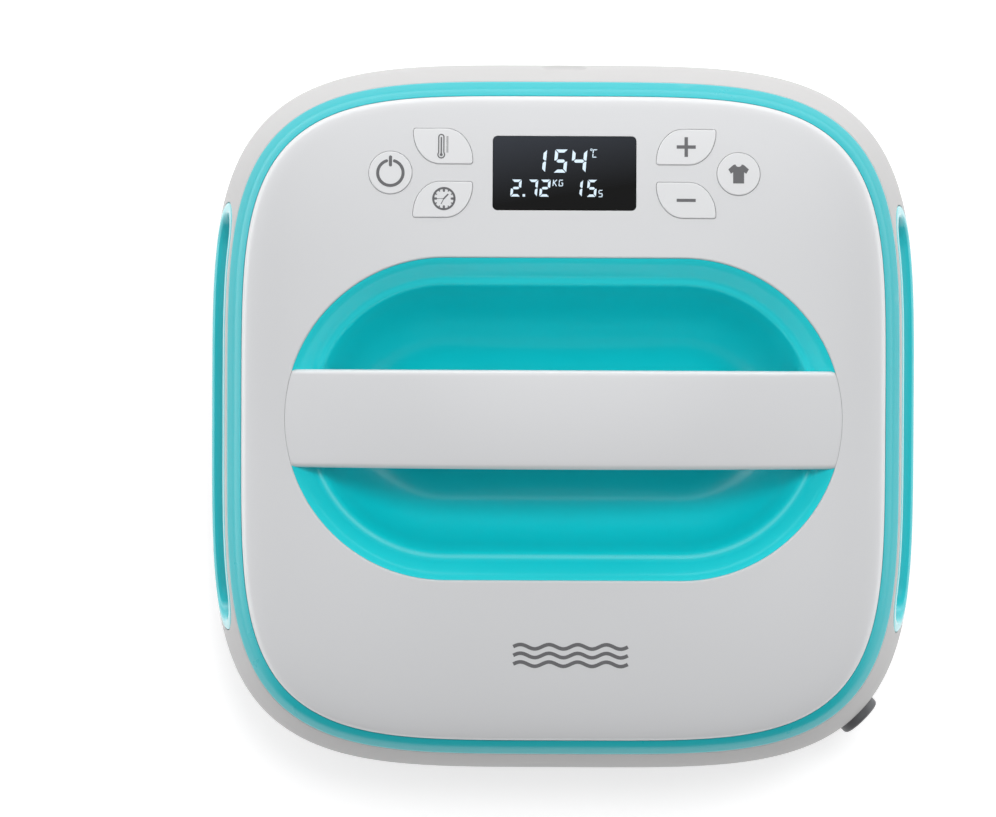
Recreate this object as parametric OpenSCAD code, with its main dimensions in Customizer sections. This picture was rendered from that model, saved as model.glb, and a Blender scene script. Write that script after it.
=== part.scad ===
// Hand-held heat press: a square-round body over a heated plate, with a bridge
// handle across a bowl-shaped grip recess. Millimetres, +Z up, the plate's
// working face on z = 0 and the vertical axis through the middle of the body.
// The rear of the press, with the control panel, is towards +Y.

/* [Body] */
// Width of the body across its widest level
body_w = 300; // [296:1:306]
// Height of the widest level of the body
wide_z = 45; // [42:1:48]
// Height of the seam between the lower housing and the accent ring
seam_z = 84; // [82:0.5:86]
// Thickness of the moulded walls
wall = 2.6; // [2.2:0.1:3]

/* [Top cover] */
// Height of the top cover's rim
rim_z = 91; // [90:0.5:92]
// Rise of the cover from its rim to its crown
crown_h = 12; // [10:0.5:14]

/* [Grip] */
// Length of the grip recess, left to right
recess_l = 228.8; // [224:0.2:232]
// Width of the grip recess, front to back
recess_w = 132; // [126:0.2:134]
// Height of the recess floor
floor_z = 60; // [58:0.5:62]
// Width of the handle, front to back
handle_w = 40.2; // [34:0.2:42]
// Height of the handle's crest
crest_z = 119; // [116:0.5:122]

/* [Control panel] */
// Distance of the panel's centre behind the vertical axis
panel_y = 100.7; // [99:0.1:102]
// Travel of each button
button_travel = 0.5; // [0.3:0.1:0.6]

/* [Heat plate] */
// Width of the square heat plate
plate_w = 254; // [250:0.5:255]
// Thickness of the heat plate
plate_t = 10; // [8:0.5:10]

/* [Hidden] */
$fn = 48;

ring_steps = 84;         // points round each squircle or stadium loop
thread_gap = 0.05;       // radial room between a screw and its hole

// Outlines: half width and superellipse exponent
body_half = body_w / 2;
body_n = 4.1;
seam_half = body_half - 10.4;
ring_n = 4.2;
cover_half = body_half - 17.2;
cover_n = 4.35;
plate_half = plate_w / 2;
plate_n = 5;
crown_p = 2.5;           // roundness of the cover's crown

// Lower housing
base_z = 14;             // underside of the lower housing
base_half = body_half - 8.5;
flange_t = 3;
flange_half = plate_half + 2.5;
ledge_z = 30;            // top of the ledge that carries the chassis
ledge_t = 3;
ledge_half = 118;

// Accent ring
ring_drop = 2.5;         // depth of its spigot in the lower housing
seat_z = rim_z - 2.2;    // the ledge that the top cover's rim stands on

// Grip recess, a stadium: half length of its straight sides and end radius
recess_r = recess_w / 2;
recess_flat = recess_l / 2 - recess_r;
part_gap = 0.15;         // room between the cover's edge and what fits in it
bowl_t = 2.2;

// Handle, a band of constant thickness along an arch
handle_t = 22;
arch_r = 318;
handle_split = 9;        // depth of the joint between its two halves
handle_wall = 2.6;
handle_reach = 118;      // the arch is made this long each way, then trimmed
handle_screw_xy = [62, 9];
mount_tab = [16, 30, 6]; // length, width and thickness of the end tab
mount_tab_z = 80;
mount_screw_xy = [119, 9];

// Side grips, stadium pockets in the side walls
grip_half = 90;
grip_z = 62;
grip_r = 18;
grip_floor_x = 131;

// Rear locating dimple
dimple_r = 9.2;
dimple_z = 57;
dimple_depth = 1.6;

// Fixing columns between the top cover and the chassis
column_xy = [96, 110];
column_r = 4.5;
chassis_t = 1.5;
chassis_half = 128;
chassis_screw_r = 1.9;

// Control panel, in a plane tangent to the cover
panel_slope = (dome_z(0, panel_y - 0.5) - dome_z(0, panel_y + 0.5));
panel_tilt = atan(panel_slope);
panel_z = dome_z(0, panel_y);
slab = [168, 42];        // thickened area under the controls
slab_corner = 14;
slab_top = -1.9;
slab_low = -4;
window = [58.5, 30.4];
window_r = 1.8;
view_area = [50, 24];
round_r = 8.8;
round_x = 71.2;
leaf = [24.3, 14.75];
leaf_round = 13.5;
leaf_sharp = 1;
leaf_x = 49.75;
leaf_v = 11;
key_gap = 0.25;
lip = 1.2;
lip_t = 1;
stem_low = -6.6;
board_top = -10.4;
board_t = 1.6;
control_size = [160, 40];
board_bosses = [[32.4, 16], [67, 16.5]];
KEYS = [
    // name, x and v on the panel, which corners of the leaf are round (0 for a round key)
    ["power", -round_x, 0, 0],
    ["temperature", -leaf_x, leaf_v, 1],
    ["timer", -leaf_x, -leaf_v, -1],
    ["plus", leaf_x, leaf_v, -1],
    ["minus", leaf_x, -leaf_v, 1],
    ["preset", round_x, 0, 0]
];

// Cord gland, on the front right corner
gland_z = 40;
gland_face = 182.5;      // distance of its outer face from the vertical axis
gland_seat = 172;
gland_r = 9.5;
gland_neck_r = 6.25;
gland_tail = 160;
gland_nut_r = 8.6;
cord_bore_r = 4.1;
clamp_h = 15;

// Heat plate stack
post_xy = 80;
post_r = 8;
post_z = 21;
standoff_z = 25;
pad_z = 26;              // top of the soft load pads, where the load cells sit
cell_t = 2;
cell_w = 34;
element_r = 3.5;
element_z = plate_t + element_r;
insulation_z = [18.2, 23.6];
shield_t = 0.6;
shoulder_r = 2.5;

// Leads from the element up to the terminal block
lead_x = 16;
lead_y = 18;
lead_z = 42;
lead_r = 1.3;

// Power board
board_z = 36;
power_size = [120, 56];
power_y = 90;

// ---------- outlines and lofts ----------

function squircle_r(a, n, t) =
    a / pow(pow(abs(cos(t)), n) + pow(abs(sin(t)), n), 1 / n);

function stadium_r(l, r, t) =
    let (straight = r / max(abs(sin(t)), 0.0001))
    straight * abs(cos(t)) <= l
        ? straight
        : l * abs(cos(t)) + sqrt(r * r - pow(l * sin(t), 2));

function polar(r, t, z) = [r * cos(t), r * sin(t), z];

function angles() = [for (i = [0:ring_steps - 1]) 360 * i / ring_steps];

function squircle_loop(a, z, n) = [for (t = angles()) polar(squircle_r(a, n, t), t, z)];

// Size of the cover's outline that passes through a point
function cover_size(x, y) = pow(pow(abs(x), cover_n) + pow(abs(y), cover_n), 1 / cover_n);

// Height of the top cover's outer face
function dome_z(x, y) =
    let (s = min(cover_size(x, y) / cover_half, 1))
    rim_z + crown_h * pow(1 - pow(s, crown_p), 1 / crown_p);

// Half width of the lower housing's outer face at a height
function side_half(z) =
    z > wide_z
        ? body_half - (body_half - seam_half) * pow((z - wide_z) / (seam_z - wide_z), 1.4)
        : body_half - (body_half - base_half) * pow((wide_z - z) / (wide_z - base_z), 2.2);

// X of the side wall's outer face at a place on it
function side_x(y, z) =
    let (a = side_half(z)) a * pow(1 - pow(abs(y) / a, body_n), 1 / body_n);

// Joins loops of points into a solid. A ring walks up the outside and down the
// inside and closes on its first loop; otherwise the end loops are capped. The
// loops of a channel go out along one face and back along the other.
module skin(loops, ring = false, channel = false) {
    m = len(loops);
    k = len(loops[0]);
    last = (m - 1) * k;
    sides = [
        for (j = [0:ring ? m - 1 : m - 2]) for (i = [0:k - 1])
            let (
                a = j * k + i,
                b = j * k + (i + 1) % k,
                c = ((j + 1) % m) * k + (i + 1) % k,
                d = ((j + 1) % m) * k + i
            )
            each [[a, c, b], [a, d, c]]
    ];
    caps = ring ? [] : channel ? [
        for (i = [0:k / 2 - 2])
            let (j = k - 1 - i)
            each [[i, i + 1, j - 1], [i, j - 1, j], [last + i, last + j, last + j - 1],
                [last + i, last + j - 1, last + i + 1]]
    ] : [
        [for (i = [0:k - 1]) i],
        [for (i = [k - 1:-1:0]) last + i]
    ];
    polyhedron([for (l = loops) each l], concat(sides, caps));
}

module squircle_plate(a, n, z0, z1)
    translate([0, 0, z0])
        linear_extrude(z1 - z0)
            polygon([for (t = angles()) squircle_r(a, n, t) * [cos(t), sin(t)]]);

function arc(cx, cy, r, a0, a1, steps = 6) =
    [for (i = [0:steps]) let (t = a0 + (a1 - a0) * i / steps) [cx + r * cos(t), cy + r * sin(t)]];

// Rectangle whose corners each have their own radius, anticlockwise from top right
function rounded(w, h, r) = concat(
    arc(w / 2 - r[0], h / 2 - r[0], r[0], 0, 90),
    arc(r[1] - w / 2, h / 2 - r[1], r[1], 90, 180),
    arc(r[2] - w / 2, r[2] - h / 2, r[2], 180, 270),
    arc(w / 2 - r[3], r[3] - h / 2, r[3], 270, 360)
);

module plug(r, z0, z1, at = [0, 0])
    translate([at[0], at[1], z0]) cylinder(r = r, h = z1 - z0);

module four(xy)
    for (x = [-1, 1], y = [-1, 1]) translate([x * xy[0], y * xy[1], 0]) children();

// A cap screw standing on z = 0, with its head below and its shank above
module screw(r, length, head_r, head_t) {
    plug(head_r, -head_t, 0);
    plug(r - thread_gap, -0.1, length);
}

// Panel frame: x to the right, y up the panel, z out of it
module on_panel(x = 0, v = 0, w = 0)
    translate([0, panel_y, panel_z]) rotate([-panel_tilt, 0, 0]) translate([x, v, w]) children();

// ---------- housing ----------

module lower_housing() {
    outer_z = [base_z, 17, 22, 28, 34, 40, wide_z, 50, 56, 62, 68, 74, 79, seam_z - 0.2];
    inner_z = [79, 72, 62, 52, wide_z, 38];
    loops = concat(
        [for (z = outer_z) squircle_loop(side_half(z), z, body_n)],
        [for (z = [seam_z - 0.2]) squircle_loop(side_half(z) - wall, z, body_n)],
        [for (z = inner_z) squircle_loop(side_half(z) - wall, z, body_n)],
        [
            squircle_loop(side_half(ledge_z) - wall, ledge_z, body_n),
            squircle_loop(ledge_half, ledge_z, cover_n),
            squircle_loop(ledge_half, ledge_z - ledge_t, cover_n),
            squircle_loop(side_half(ledge_z - ledge_t) - wall, ledge_z - ledge_t, body_n),
            squircle_loop(side_half(base_z + flange_t) - wall, base_z + flange_t, body_n),
            squircle_loop(flange_half, base_z + flange_t, plate_n),
            squircle_loop(flange_half, base_z, plate_n)
        ]
    );
    color("whitesmoke") difference() {
        union() {
            skin(loops, ring = true);
            at_gland(gland_seat - 8) cylinder(r = 12, h = 8.5);
            skirt_places() plug(3.6, base_z + 1, base_z + 9);
        }
        for (s = [-1, 1]) side_opening(s, grip_half + part_gap, grip_r + part_gap);
        translate([0, body_half + 26 - dimple_depth, dimple_z]) rotate([90, 0, 0])
            rotate_extrude() dimple_profile();
        at_gland(gland_seat) cylinder(r = gland_r + 0.2, h = 20);
        at_gland(gland_tail) cylinder(r = gland_neck_r + 0.1, h = 20);
        four(column_xy) plug(chassis_screw_r + 0.2, ledge_z - ledge_t - 1, ledge_z + 1);
        skirt_places() plug(1.5, base_z - 1, base_z + 8);
    }
}

// A shallow dish: a cone frustum with its wide mouth outwards
module dimple_profile() {
    far = 26 + dimple_depth + 0.9;
    polygon([[0, 0], [dimple_r, 0], [dimple_r, 26], [dimple_r - 2.5, far], [0, far]]);
}

module side_opening(s, half, r)
    translate([s > 0 ? 120 : -160, 0, grip_z]) rotate([90, 0, 90])
        linear_extrude(40) {
            square([2 * (half - r), 2 * r], center = true);
            for (e = [-1, 1]) translate([e * (half - r), 0]) circle(r);
        }

module skirt_places() {
    for (a = [0:90:270]) rotate(a) translate([135, 0, 0]) children();
    four([115.5, 115.5]) children();
}

module accent_ring() {
    section = [
        // half width, height, exponent
        [seam_half - 3.6, seam_z - ring_drop, ring_n],
        [seam_half - 3.6, seam_z, ring_n],
        [seam_half - 0.2, seam_z, ring_n],
        [seam_half - 0.1, seam_z + 0.4, ring_n],
        [cover_half + 3.6, rim_z - 3.2, ring_n],
        [cover_half + 0.9, rim_z - 0.4, cover_n],
        [cover_half + 0.4, rim_z - 0.1, cover_n],
        [cover_half + part_gap, rim_z - 0.2, cover_n],
        [cover_half + part_gap, seat_z, cover_n],
        [cover_half - 3.2, seat_z, cover_n],
        [cover_half - 3.2, seam_z - ring_drop, cover_n]
    ];
    color("mediumturquoise")
        skin([for (p = section) squircle_loop(p[0], p[1], p[2])], ring = true);
}

// A loop on the top cover: from its rim at f = 0 to the grip recess at f = 1
function cover_loop(f, inset, drop) = [
    for (t = angles())
        let (
            r = (1 - f) * squircle_r(cover_half - inset, cover_n, t)
                + f * stadium_r(recess_flat, recess_r + part_gap, t),
            p = polar(r, t, 0)
        )
        [p[0], p[1], dome_z(p[0], p[1]) - drop]
];

module top_cover() {
    outer_steps = 9;
    inner_steps = 6;
    loops = concat(
        [squircle_loop(cover_half, seat_z + 0.1, cover_n)],
        [for (i = [0:outer_steps]) cover_loop(pow(i / outer_steps, 2), 0, 0)],
        [for (i = [inner_steps:-1:0]) cover_loop(pow(i / inner_steps, 2), wall, wall)],
        [squircle_loop(cover_half - wall, seat_z + 0.1, cover_n)]
    );
    color("whitesmoke") difference() {
        union() {
            skin(loops, ring = true);
            on_panel(0, 0, slab_low) linear_extrude(slab_top - slab_low)
                polygon(rounded(slab[0], slab[1], [1, 1, 1, 1] * slab_corner));
            for (x = [-1, 1], y = [-1, 1], b = board_bosses)
                on_panel(x * b[0], y * b[1], board_top) cylinder(r = 2.6, h = slab_low - board_top + 0.5);
            four(column_xy) plug(column_r, ledge_z + chassis_t, rim_z + 4.2);
            four(mount_screw_xy) plug(3.8, mount_tab_z + mount_tab[2], rim_z + 5);
        }
        for (k = KEYS) on_panel(k[1], k[2], slab_low - 1) key_shape(k[3], key_gap, 12);
        on_panel(0, 0, slab_top) linear_extrude(10)
            polygon(rounded(window[0] + 0.3, window[1] + 0.3, [1, 1, 1, 1] * (window_r + 0.15)));
        on_panel(0, 0, slab_low - 1) linear_extrude(10)
            polygon(rounded(view_area[0], view_area[1], [1, 1, 1, 1]));
        four(column_xy) plug(1.7, ledge_z, 60);
        four(mount_screw_xy) plug(1.5, mount_tab_z, rim_z + 2);
        for (x = [-1, 1], y = [-1, 1], b = board_bosses)
            on_panel(x * b[0], y * b[1], board_top - 1) cylinder(r = 1, h = 6);
    }
}

// A loop of the grip recess, inset from its rim
function recess_loop(inset, height) = [
    for (t = angles())
        let (p = polar(stadium_r(recess_flat, recess_r - inset, t), t, 0), rim = recess_rim(t))
        [p[0], p[1], floor_z + (rim - floor_z) * height]
];

// The same, at a fixed depth under the top cover's face
function recess_edge(inset, drop) = [
    for (t = angles())
        let (p = polar(stadium_r(recess_flat, recess_r - inset, t), t, 0))
        [p[0], p[1], dome_z(p[0], p[1]) - drop]
];

function recess_rim(t) =
    let (p = polar(stadium_r(recess_flat, recess_r, t), t, 0)) dome_z(p[0], p[1]);

module grip_recess() {
    bowl = [
        // inset and height, as a share of the depth
        [0.8, 0.99], [4.4, 0.93], [8.4, 0.847], [10.4, 0.838], [12.4, 0.765],
        [16, 0.6], [22, 0.38], [28, 0.224], [35, 0.1], [42, 0.03], [50, 0]
    ];
    outside = [for (i = [len(bowl) - 1:-1:2]) bowl[i]];
    loops = concat(
        [for (p = outside) lowered(recess_loop(p[0] - bowl_t, p[1]), bowl_t)],
        [
            recess_edge(part_gap, wall + 2.4),
            recess_edge(-5, wall + 2.4),
            recess_edge(-5, wall + 0.3),
            recess_edge(part_gap, wall + 0.3),
            recess_edge(part_gap, 0.25)
        ],
        [for (p = bowl) recess_loop(p[0], p[1])]
    );
    color("darkturquoise") difference() {
        skin(loops);
        for (s = [0, 180]) rotate(s) handle_notch();
    }
}

function lowered(loop, dz) = [for (p = loop) [p[0], p[1], p[2] - dz]];

// ---------- handle ----------

function arch_z(x) = crest_z - x * x / (2 * arch_r);

// A slab that follows the arch: from depth d0 down to depth d1
module arch_band(x0, x1, d0, d1, width, steps = 10) {
    xs = [for (i = [0:steps]) x0 + (x1 - x0) * i / steps];
    translate([0, width / 2, 0]) rotate([90, 0, 0]) linear_extrude(width)
        polygon(concat(
            [for (x = xs) [x, arch_z(x) - d0]],
            [for (i = [steps:-1:0]) [xs[i], arch_z(xs[i]) - d1]]
        ));
}

module handle_notch()
    arch_band(96, 124, -20, handle_t + 0.3, handle_w + 0.6, 4);

// Sweeps a channel's section along the arch and trims its ends to the recess
module arch_sweep(section) {
    stations = 22;
    intersection() {
        skin([
            for (i = [0:stations])
                let (x = handle_reach * (2 * i / stations - 1))
                [for (p = section) [x, p[0], arch_z(x) + p[1]]]
        ], channel = true);
        translate([0, 0, 60]) linear_extrude(70) {
            square([2 * recess_flat, 2 * (recess_r - part_gap)], center = true);
            for (s = [-1, 1]) translate([s * recess_flat, 0]) circle(recess_r - part_gap);
        }
    }
}

function span(a, b, y, steps = 6) = [for (i = [1:steps - 1]) [a + (b - a) * i / steps, y]];

module handle_cover() {
    w = handle_w / 2;
    inner = w - handle_wall;
    section = concat(
        [[w, -handle_split]],
        arc(w - 2.4, -2.4, 2.4, 0, 90, 4),
        arc(2.4 - w, -2.4, 2.4, 90, 180, 4),
        [[-w, -handle_split], [-inner, -handle_split]],
        arc(1 - inner, -handle_wall - 1, 1, 180, 90, 4),
        arc(inner - 1, -handle_wall - 1, 1, 90, 0, 4),
        [[inner, -handle_split]]
    );
    color("whitesmoke") difference() {
        union() {
            arch_sweep(section);
            four(handle_screw_xy) plug(3.4, handle_seat() + 12, handle_seat() + 20.4);
        }
        four(handle_screw_xy) plug(1.5, handle_seat() + 10, handle_seat() + 19);
    }
}

// Underside of the handle at its screws
function handle_seat() = arch_z(handle_screw_xy[0]) - handle_t;

module handle_base() {
    w = handle_w / 2;
    inner = w - handle_wall;
    low = -handle_t;
    section = concat(
        [[-w, -handle_split - 0.1]],
        arc(7 - w, low + 7, 7, 180, 270, 4),
        arc(w - 7, low + 7, 7, 270, 360, 4),
        [[w, -handle_split - 0.1], [inner, -handle_split - 0.1]],
        arc(inner - 4.4, low + handle_wall + 4.4, 4.4, 0, -90, 4),
        arc(4.4 - inner, low + handle_wall + 4.4, 4.4, 270, 180, 4),
        [[-inner, -handle_split - 0.1]]
    );
    color("whitesmoke") difference() {
        union() {
            arch_sweep(section);
            four(handle_screw_xy) plug(4.6, handle_seat() + 1.5, handle_seat() + 11.8);
            for (s = [0, 180]) rotate(s)
                translate([108, -mount_tab[1] / 2, mount_tab_z]) cube(mount_tab);
        }
        four(handle_screw_xy) plug(1.8, handle_seat() - 1, handle_seat() + 20);
        four(handle_screw_xy) plug(3.2, handle_seat() - 5, handle_seat() + 6);
        four(mount_screw_xy) plug(1.8, mount_tab_z - 1, mount_tab_z + mount_tab[2] + 1);
    }
}

// Four join the handle's halves and four hold its ends to the top cover
module handle_screws()
    color("dimgray") {
        four(handle_screw_xy) translate([0, 0, handle_seat() + 6]) screw(1.5, 12, 2.8, 2.2);
        four(mount_screw_xy) translate([0, 0, mount_tab_z]) screw(1.5, 12, 2.8, 2.2);
    }

// ---------- side grips ----------

// Points round a stadium as offsets along y and z, with extra points on its straights
function grip_outline(inset) =
    let (l = grip_half - grip_r, r = grip_r - inset)
    concat(
        arc(l, 0, r, 0, 90, 5),
        span(l, -l, r),
        arc(-l, 0, r, 90, 270, 10),
        span(-l, l, -r),
        arc(l, 0, r, -90, -18, 4)
    );

// A loop in the side wall's opening, at a depth in from the wall's face
function grip_loop(s, inset, depth) = [
    for (p = grip_outline(inset)) let (y = s * p[0], z = grip_z + p[1]) [s * (side_x(y, z) - depth), y, z]
];

function flat_grip_loop(s, inset, x) = [for (p = grip_outline(inset)) [s * x, s * p[0], grip_z + p[1]]];

module side_grip(s) {
    color("mediumturquoise") skin([
        flat_grip_loop(s, 8, grip_floor_x - 2),
        flat_grip_loop(s, 5.5, grip_floor_x - 2),
        grip_loop(s, 3, 6),
        grip_loop(s, 0, 3.2),
        grip_loop(s, 0, 0.3),
        grip_loop(s, 0.4, 0),
        grip_loop(s, 4.2, 0.5),
        grip_loop(s, 5, 1.5),
        flat_grip_loop(s, 7.5, grip_floor_x + 1.5),
        flat_grip_loop(s, 9, grip_floor_x)
    ]);
}

// ---------- base ----------

module base_skirt() {
    color("gray") difference() {
        squircle_plate(base_half - 0.6, body_n, 4, base_z - 0.1);
        squircle_plate(plate_half + 1.4, plate_n, 3, base_z + 1);
        skirt_places() plug(1.8, 3, base_z + 1);
        skirt_places() plug(3.2, 3, 6.5);
    }
}

module skirt_screws()
    color("dimgray") skirt_places() translate([0, 0, 6.5]) screw(1.5, 13, 2.9, 2);

module chassis_plate() {
    color("silver") difference() {
        squircle_plate(chassis_half, cover_n, ledge_z, ledge_z + chassis_t);
        four(column_xy) plug(chassis_screw_r + 0.2, ledge_z - 1, ledge_z + chassis_t + 1);
        four([post_xy, post_xy]) plug(3.5, ledge_z - 1, ledge_z + chassis_t + 1);
        for (x = [-1, 1], y = [-1, 1])
            translate([x * post_xy, y * post_xy, 0]) cell_rivet_places() plug(1.6, ledge_z - 1, ledge_z + 3);
        board_places() plug(1.6, ledge_z - 1, ledge_z + 3);
        clamp_places() plug(1.6, ledge_z - 1, ledge_z + 3);
        lead_places() plug(6, ledge_z - 1, ledge_z + 3);
    }
}

module chassis_screws()
    color("dimgray") four(column_xy) translate([0, 0, ledge_z - ledge_t]) screw(1.7, 22, 3.6, 2.6);

// ---------- load cells ----------

module cell_rivet_places()
    for (x = [-13, 13], y = [-13, 13]) translate([x, y, 0]) children();

// A flat bending-beam cell, riveted under the chassis: a rim round a free tongue
module load_cell(x, y) {
    color("gold") translate([x * post_xy, y * post_xy, 0]) difference() {
        union() {
            translate([-cell_w / 2, -cell_w / 2, pad_z]) cube([cell_w, cell_w, cell_t]);
            cell_rivet_places() plug(3, pad_z + 1, ledge_z);
            cell_rivet_places() plug(1.55, ledge_z - 1, ledge_z + chassis_t);
        }
        plug(3.2, pad_z - 1, ledge_z);
        for (s = [-1, 1]) translate([s * 9.5 - 1, -8, pad_z - 1]) cube([2, 20, cell_t + 2]);
        translate([-10.5, 10, pad_z - 1]) cube([21, 2, cell_t + 2]);
    }
}

// ---------- control panel ----------

// The plan shape of a key: 0 is round, 1 and -1 are the two leaves
module key_shape(kind, grow, h) {
    if (kind == 0) cylinder(r = round_r + grow, h = h);
    else linear_extrude(h) polygon(leaf_outline(kind, grow));
}

function leaf_outline(kind, grow) =
    let (big = leaf_round + grow, small = leaf_sharp + grow)
    rounded(leaf[0] + 2 * grow, leaf[1] + 2 * grow,
        kind > 0 ? [big, small, big, small] : [small, big, small, big]);

// Height of the cover's face over the panel's plane at a key
function key_lift(k) =
    let (y = panel_y + k[2] * cos(panel_tilt))
    (dome_z(k[1], y) - panel_z + (y - panel_y) * tan(panel_tilt)) * cos(panel_tilt);

module key_cap(i) {
    k = KEYS[i];
    color("white") on_panel(k[1], k[2]) {
        translate([0, 0, slab_low]) key_shape(k[3], 0, key_lift(k) + 0.35 - slab_low);
        translate([0, 0, slab_low - 0.05 - lip_t]) key_shape(k[3], lip, lip_t);
        translate([0, 0, slab_low - 0.2]) key_shape(k[3], -0.4, 0.4);
        translate([0, 0, stem_low]) cylinder(r = 1.5, h = slab_low - stem_low);
    }
}

module key_plunger(i) {
    k = KEYS[i];
    color("black") on_panel(k[1], k[2], stem_low - 2.4) cylinder(r = 1.6, h = 2.4);
}

module display_window()
    color("black") on_panel(0, 0, slab_top + 0.05)
        linear_extrude(-slab_top - 0.25) polygon(rounded(window[0], window[1], [1, 1, 1, 1] * window_r));

module lcd_module() {
    color("darkslategray") on_panel(0, 0, board_top + 0.05)
        linear_extrude(slab_low - board_top - 0.1) polygon(rounded(54, 27.5, [1, 1, 1, 1]));
}

module control_board() {
    color("green") on_panel(0, 0, board_top - board_t) difference() {
        linear_extrude(board_t) polygon(rounded(control_size[0], control_size[1], [2, 2, 2, 2]));
        for (x = [-1, 1], y = [-1, 1], b = board_bosses)
            translate([x * b[0], y * b[1], -1]) cylinder(r = 1.2, h = board_t + 2);
    }
}

module tact_switches() {
    color("dimgray") for (k = KEYS) on_panel(k[1], k[2], board_top) difference() {
        translate([-3, -3, 0]) cube([6, 6, 3.5]);
        translate([0, 0, 0.7]) cylinder(r = 1.8, h = 4);
    }
}

module buzzer()
    color("black") on_panel(20, 0, board_top - board_t - 7) difference() {
        cylinder(r = 6, h = 7);
        translate([0, 0, -1]) cylinder(r = 1, h = 3);
    }

module control_board_screws()
    color("silver") for (x = [-1, 1], y = [-1, 1], b = board_bosses)
        on_panel(x * b[0], y * b[1], board_top - board_t) screw(1, 5.5, 1.9, 1.2);

// ---------- power board ----------

module board_places()
    for (x = [-1, 1], y = [-1, 1])
        translate([x * (power_size[0] / 2 - 5), power_y + y * (power_size[1] / 2 - 5), 0]) children();

module power_board() {
    color("green") difference() {
        translate([-power_size[0] / 2, power_y - power_size[1] / 2, board_z])
            cube([power_size[0], power_size[1], board_t]);
        board_places() plug(1.6, board_z - 1, board_z + 3);
    }
}

module board_standoffs()
    color("goldenrod") board_places() difference() {
        plug(3, ledge_z + chassis_t, board_z);
        plug(1.6, ledge_z + 1, board_z + 1);
    }

module power_board_screws()
    color("silver") board_places()
        translate([0, 0, board_z + board_t]) mirror([0, 0, 1]) screw(1.5, 5.5, 2.7, 2);

module relay() {
    color("royalblue") translate([-44, 92, board_z + board_t]) cube([19, 15, 15.5]);
}

module transformer() {
    color("gold") translate([-16, 88, board_z + board_t]) {
        cube([28, 22, 5]);
        translate([4, 0, 0]) cube([20, 22, 17]);
    }
}

// Finned extrusion with the switching device on its back
module triac_heatsink() {
    color("silver") translate([20, 92, board_z + board_t]) {
        cube([30, 2.5, 16]);
        for (i = [0:5]) translate([i * 5.6, 0, 0]) cube([1.6, 12, 16]);
        translate([10, -4.4, 3]) cube([10, 4.5, 10]);
    }
}

module fuse() {
    color("silver") translate([-46, 76, board_z + board_t]) {
        for (x = [0, 20]) translate([x - 2.5, -3.5, 0]) cube([5, 7, 4]);
        translate([-2.5, 0, 5]) rotate([0, 90, 0]) cylinder(r = 2.6, h = 25);
    }
}

module terminal_block() {
    color("ivory") translate([0, 64, board_z + board_t]) difference() {
        translate([-22, 0, 0]) cube([44, 13, 12]);
        for (x = lead_x * [-1, -0.33, 0.33, 1]) {
            translate([x, 7, 8]) cylinder(r = 2.6, h = 5);
            translate([x, 8, lead_z - board_z - board_t]) rotate([90, 0, 0]) cylinder(r = 2.2, h = 9);
        }
    }
}

// Flat cable from the control board down to the power board
module ribbon_cable()
    color("lightgray") translate([-64, 76, 0]) rotate([90, 0, 90]) linear_extrude(14)
        polygon([
            [0, board_z + 1.7], [7, board_z + 1.7], [8, 60], [10, 86.5],
            [9.2, 86.6], [7.2, 60], [6.2, board_z + 2.5], [0, board_z + 2.5]
        ]);

// ---------- cord gland ----------

// Frame along the gland's axis: the origin at a distance out from the middle
module at_gland(out)
    translate([out / sqrt(2), -out / sqrt(2), gland_z]) rotate([0, 90, -45]) children();

module cord_gland() {
    bevel = 2.2;
    color("dimgray") difference() {
        union() {
            at_gland(gland_seat + 0.1) cylinder(r = gland_r, h = gland_face - gland_seat - 0.1 - bevel);
            at_gland(gland_face - bevel - 0.01)
                cylinder(r1 = gland_r, r2 = gland_r - bevel, h = bevel + 0.01);
            at_gland(gland_tail) cylinder(r = gland_neck_r, h = gland_seat - gland_tail + 0.2);
        }
        at_gland(gland_tail - 1) cylinder(r = cord_bore_r, h = 30);
    }
}

module gland_nut() {
    color("black") difference() {
        at_gland(gland_tail + 0.5) cylinder(r = gland_nut_r, h = 3.3, $fn = 6);
        at_gland(gland_tail) cylinder(r = gland_neck_r + thread_gap, h = 5);
    }
}

module clamp_places()
    for (s = [-1, 1]) at_clamp() translate([0, s * 9, 0]) children();

module at_clamp() translate([94, -94, 0]) rotate(-45) children();

module cord_clamp() {
    color("black") at_clamp() difference() {
        translate([-5, -13, ledge_z + chassis_t]) cube([10, 26, clamp_h]);
        translate([-6, 0, gland_z]) rotate([0, 90, 0]) cylinder(r = cord_bore_r, h = 12);
        for (s = [-1, 1]) plug(1.6, ledge_z, 60, [0, s * 9]);
    }
}

module clamp_screws()
    color("silver") clamp_places()
        translate([0, 0, ledge_z + chassis_t + clamp_h]) mirror([0, 0, 1]) screw(1.5, clamp_h + 2, 2.8, 2);

// ---------- heat plate ----------

module heat_plate() {
    chamfer = 1.2;
    color("darkslategray") difference() {
        union() {
            squircle_plate(plate_half - chamfer, plate_n, 0, chamfer / 2);
            squircle_plate(plate_half - chamfer / 2, plate_n, chamfer / 2, chamfer);
            squircle_plate(plate_half, plate_n, chamfer, plate_t);
            four([post_xy, post_xy]) plug(post_r, plate_t - 1, post_z);
        }
        four([post_xy, post_xy]) plug(2.1, plate_t + 1, post_z + 1);
        strap_places() for (s = [-8, 8]) plug(1.25, plate_t - 5, plate_t + 1, [s, 0]);
    }
}

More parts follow.
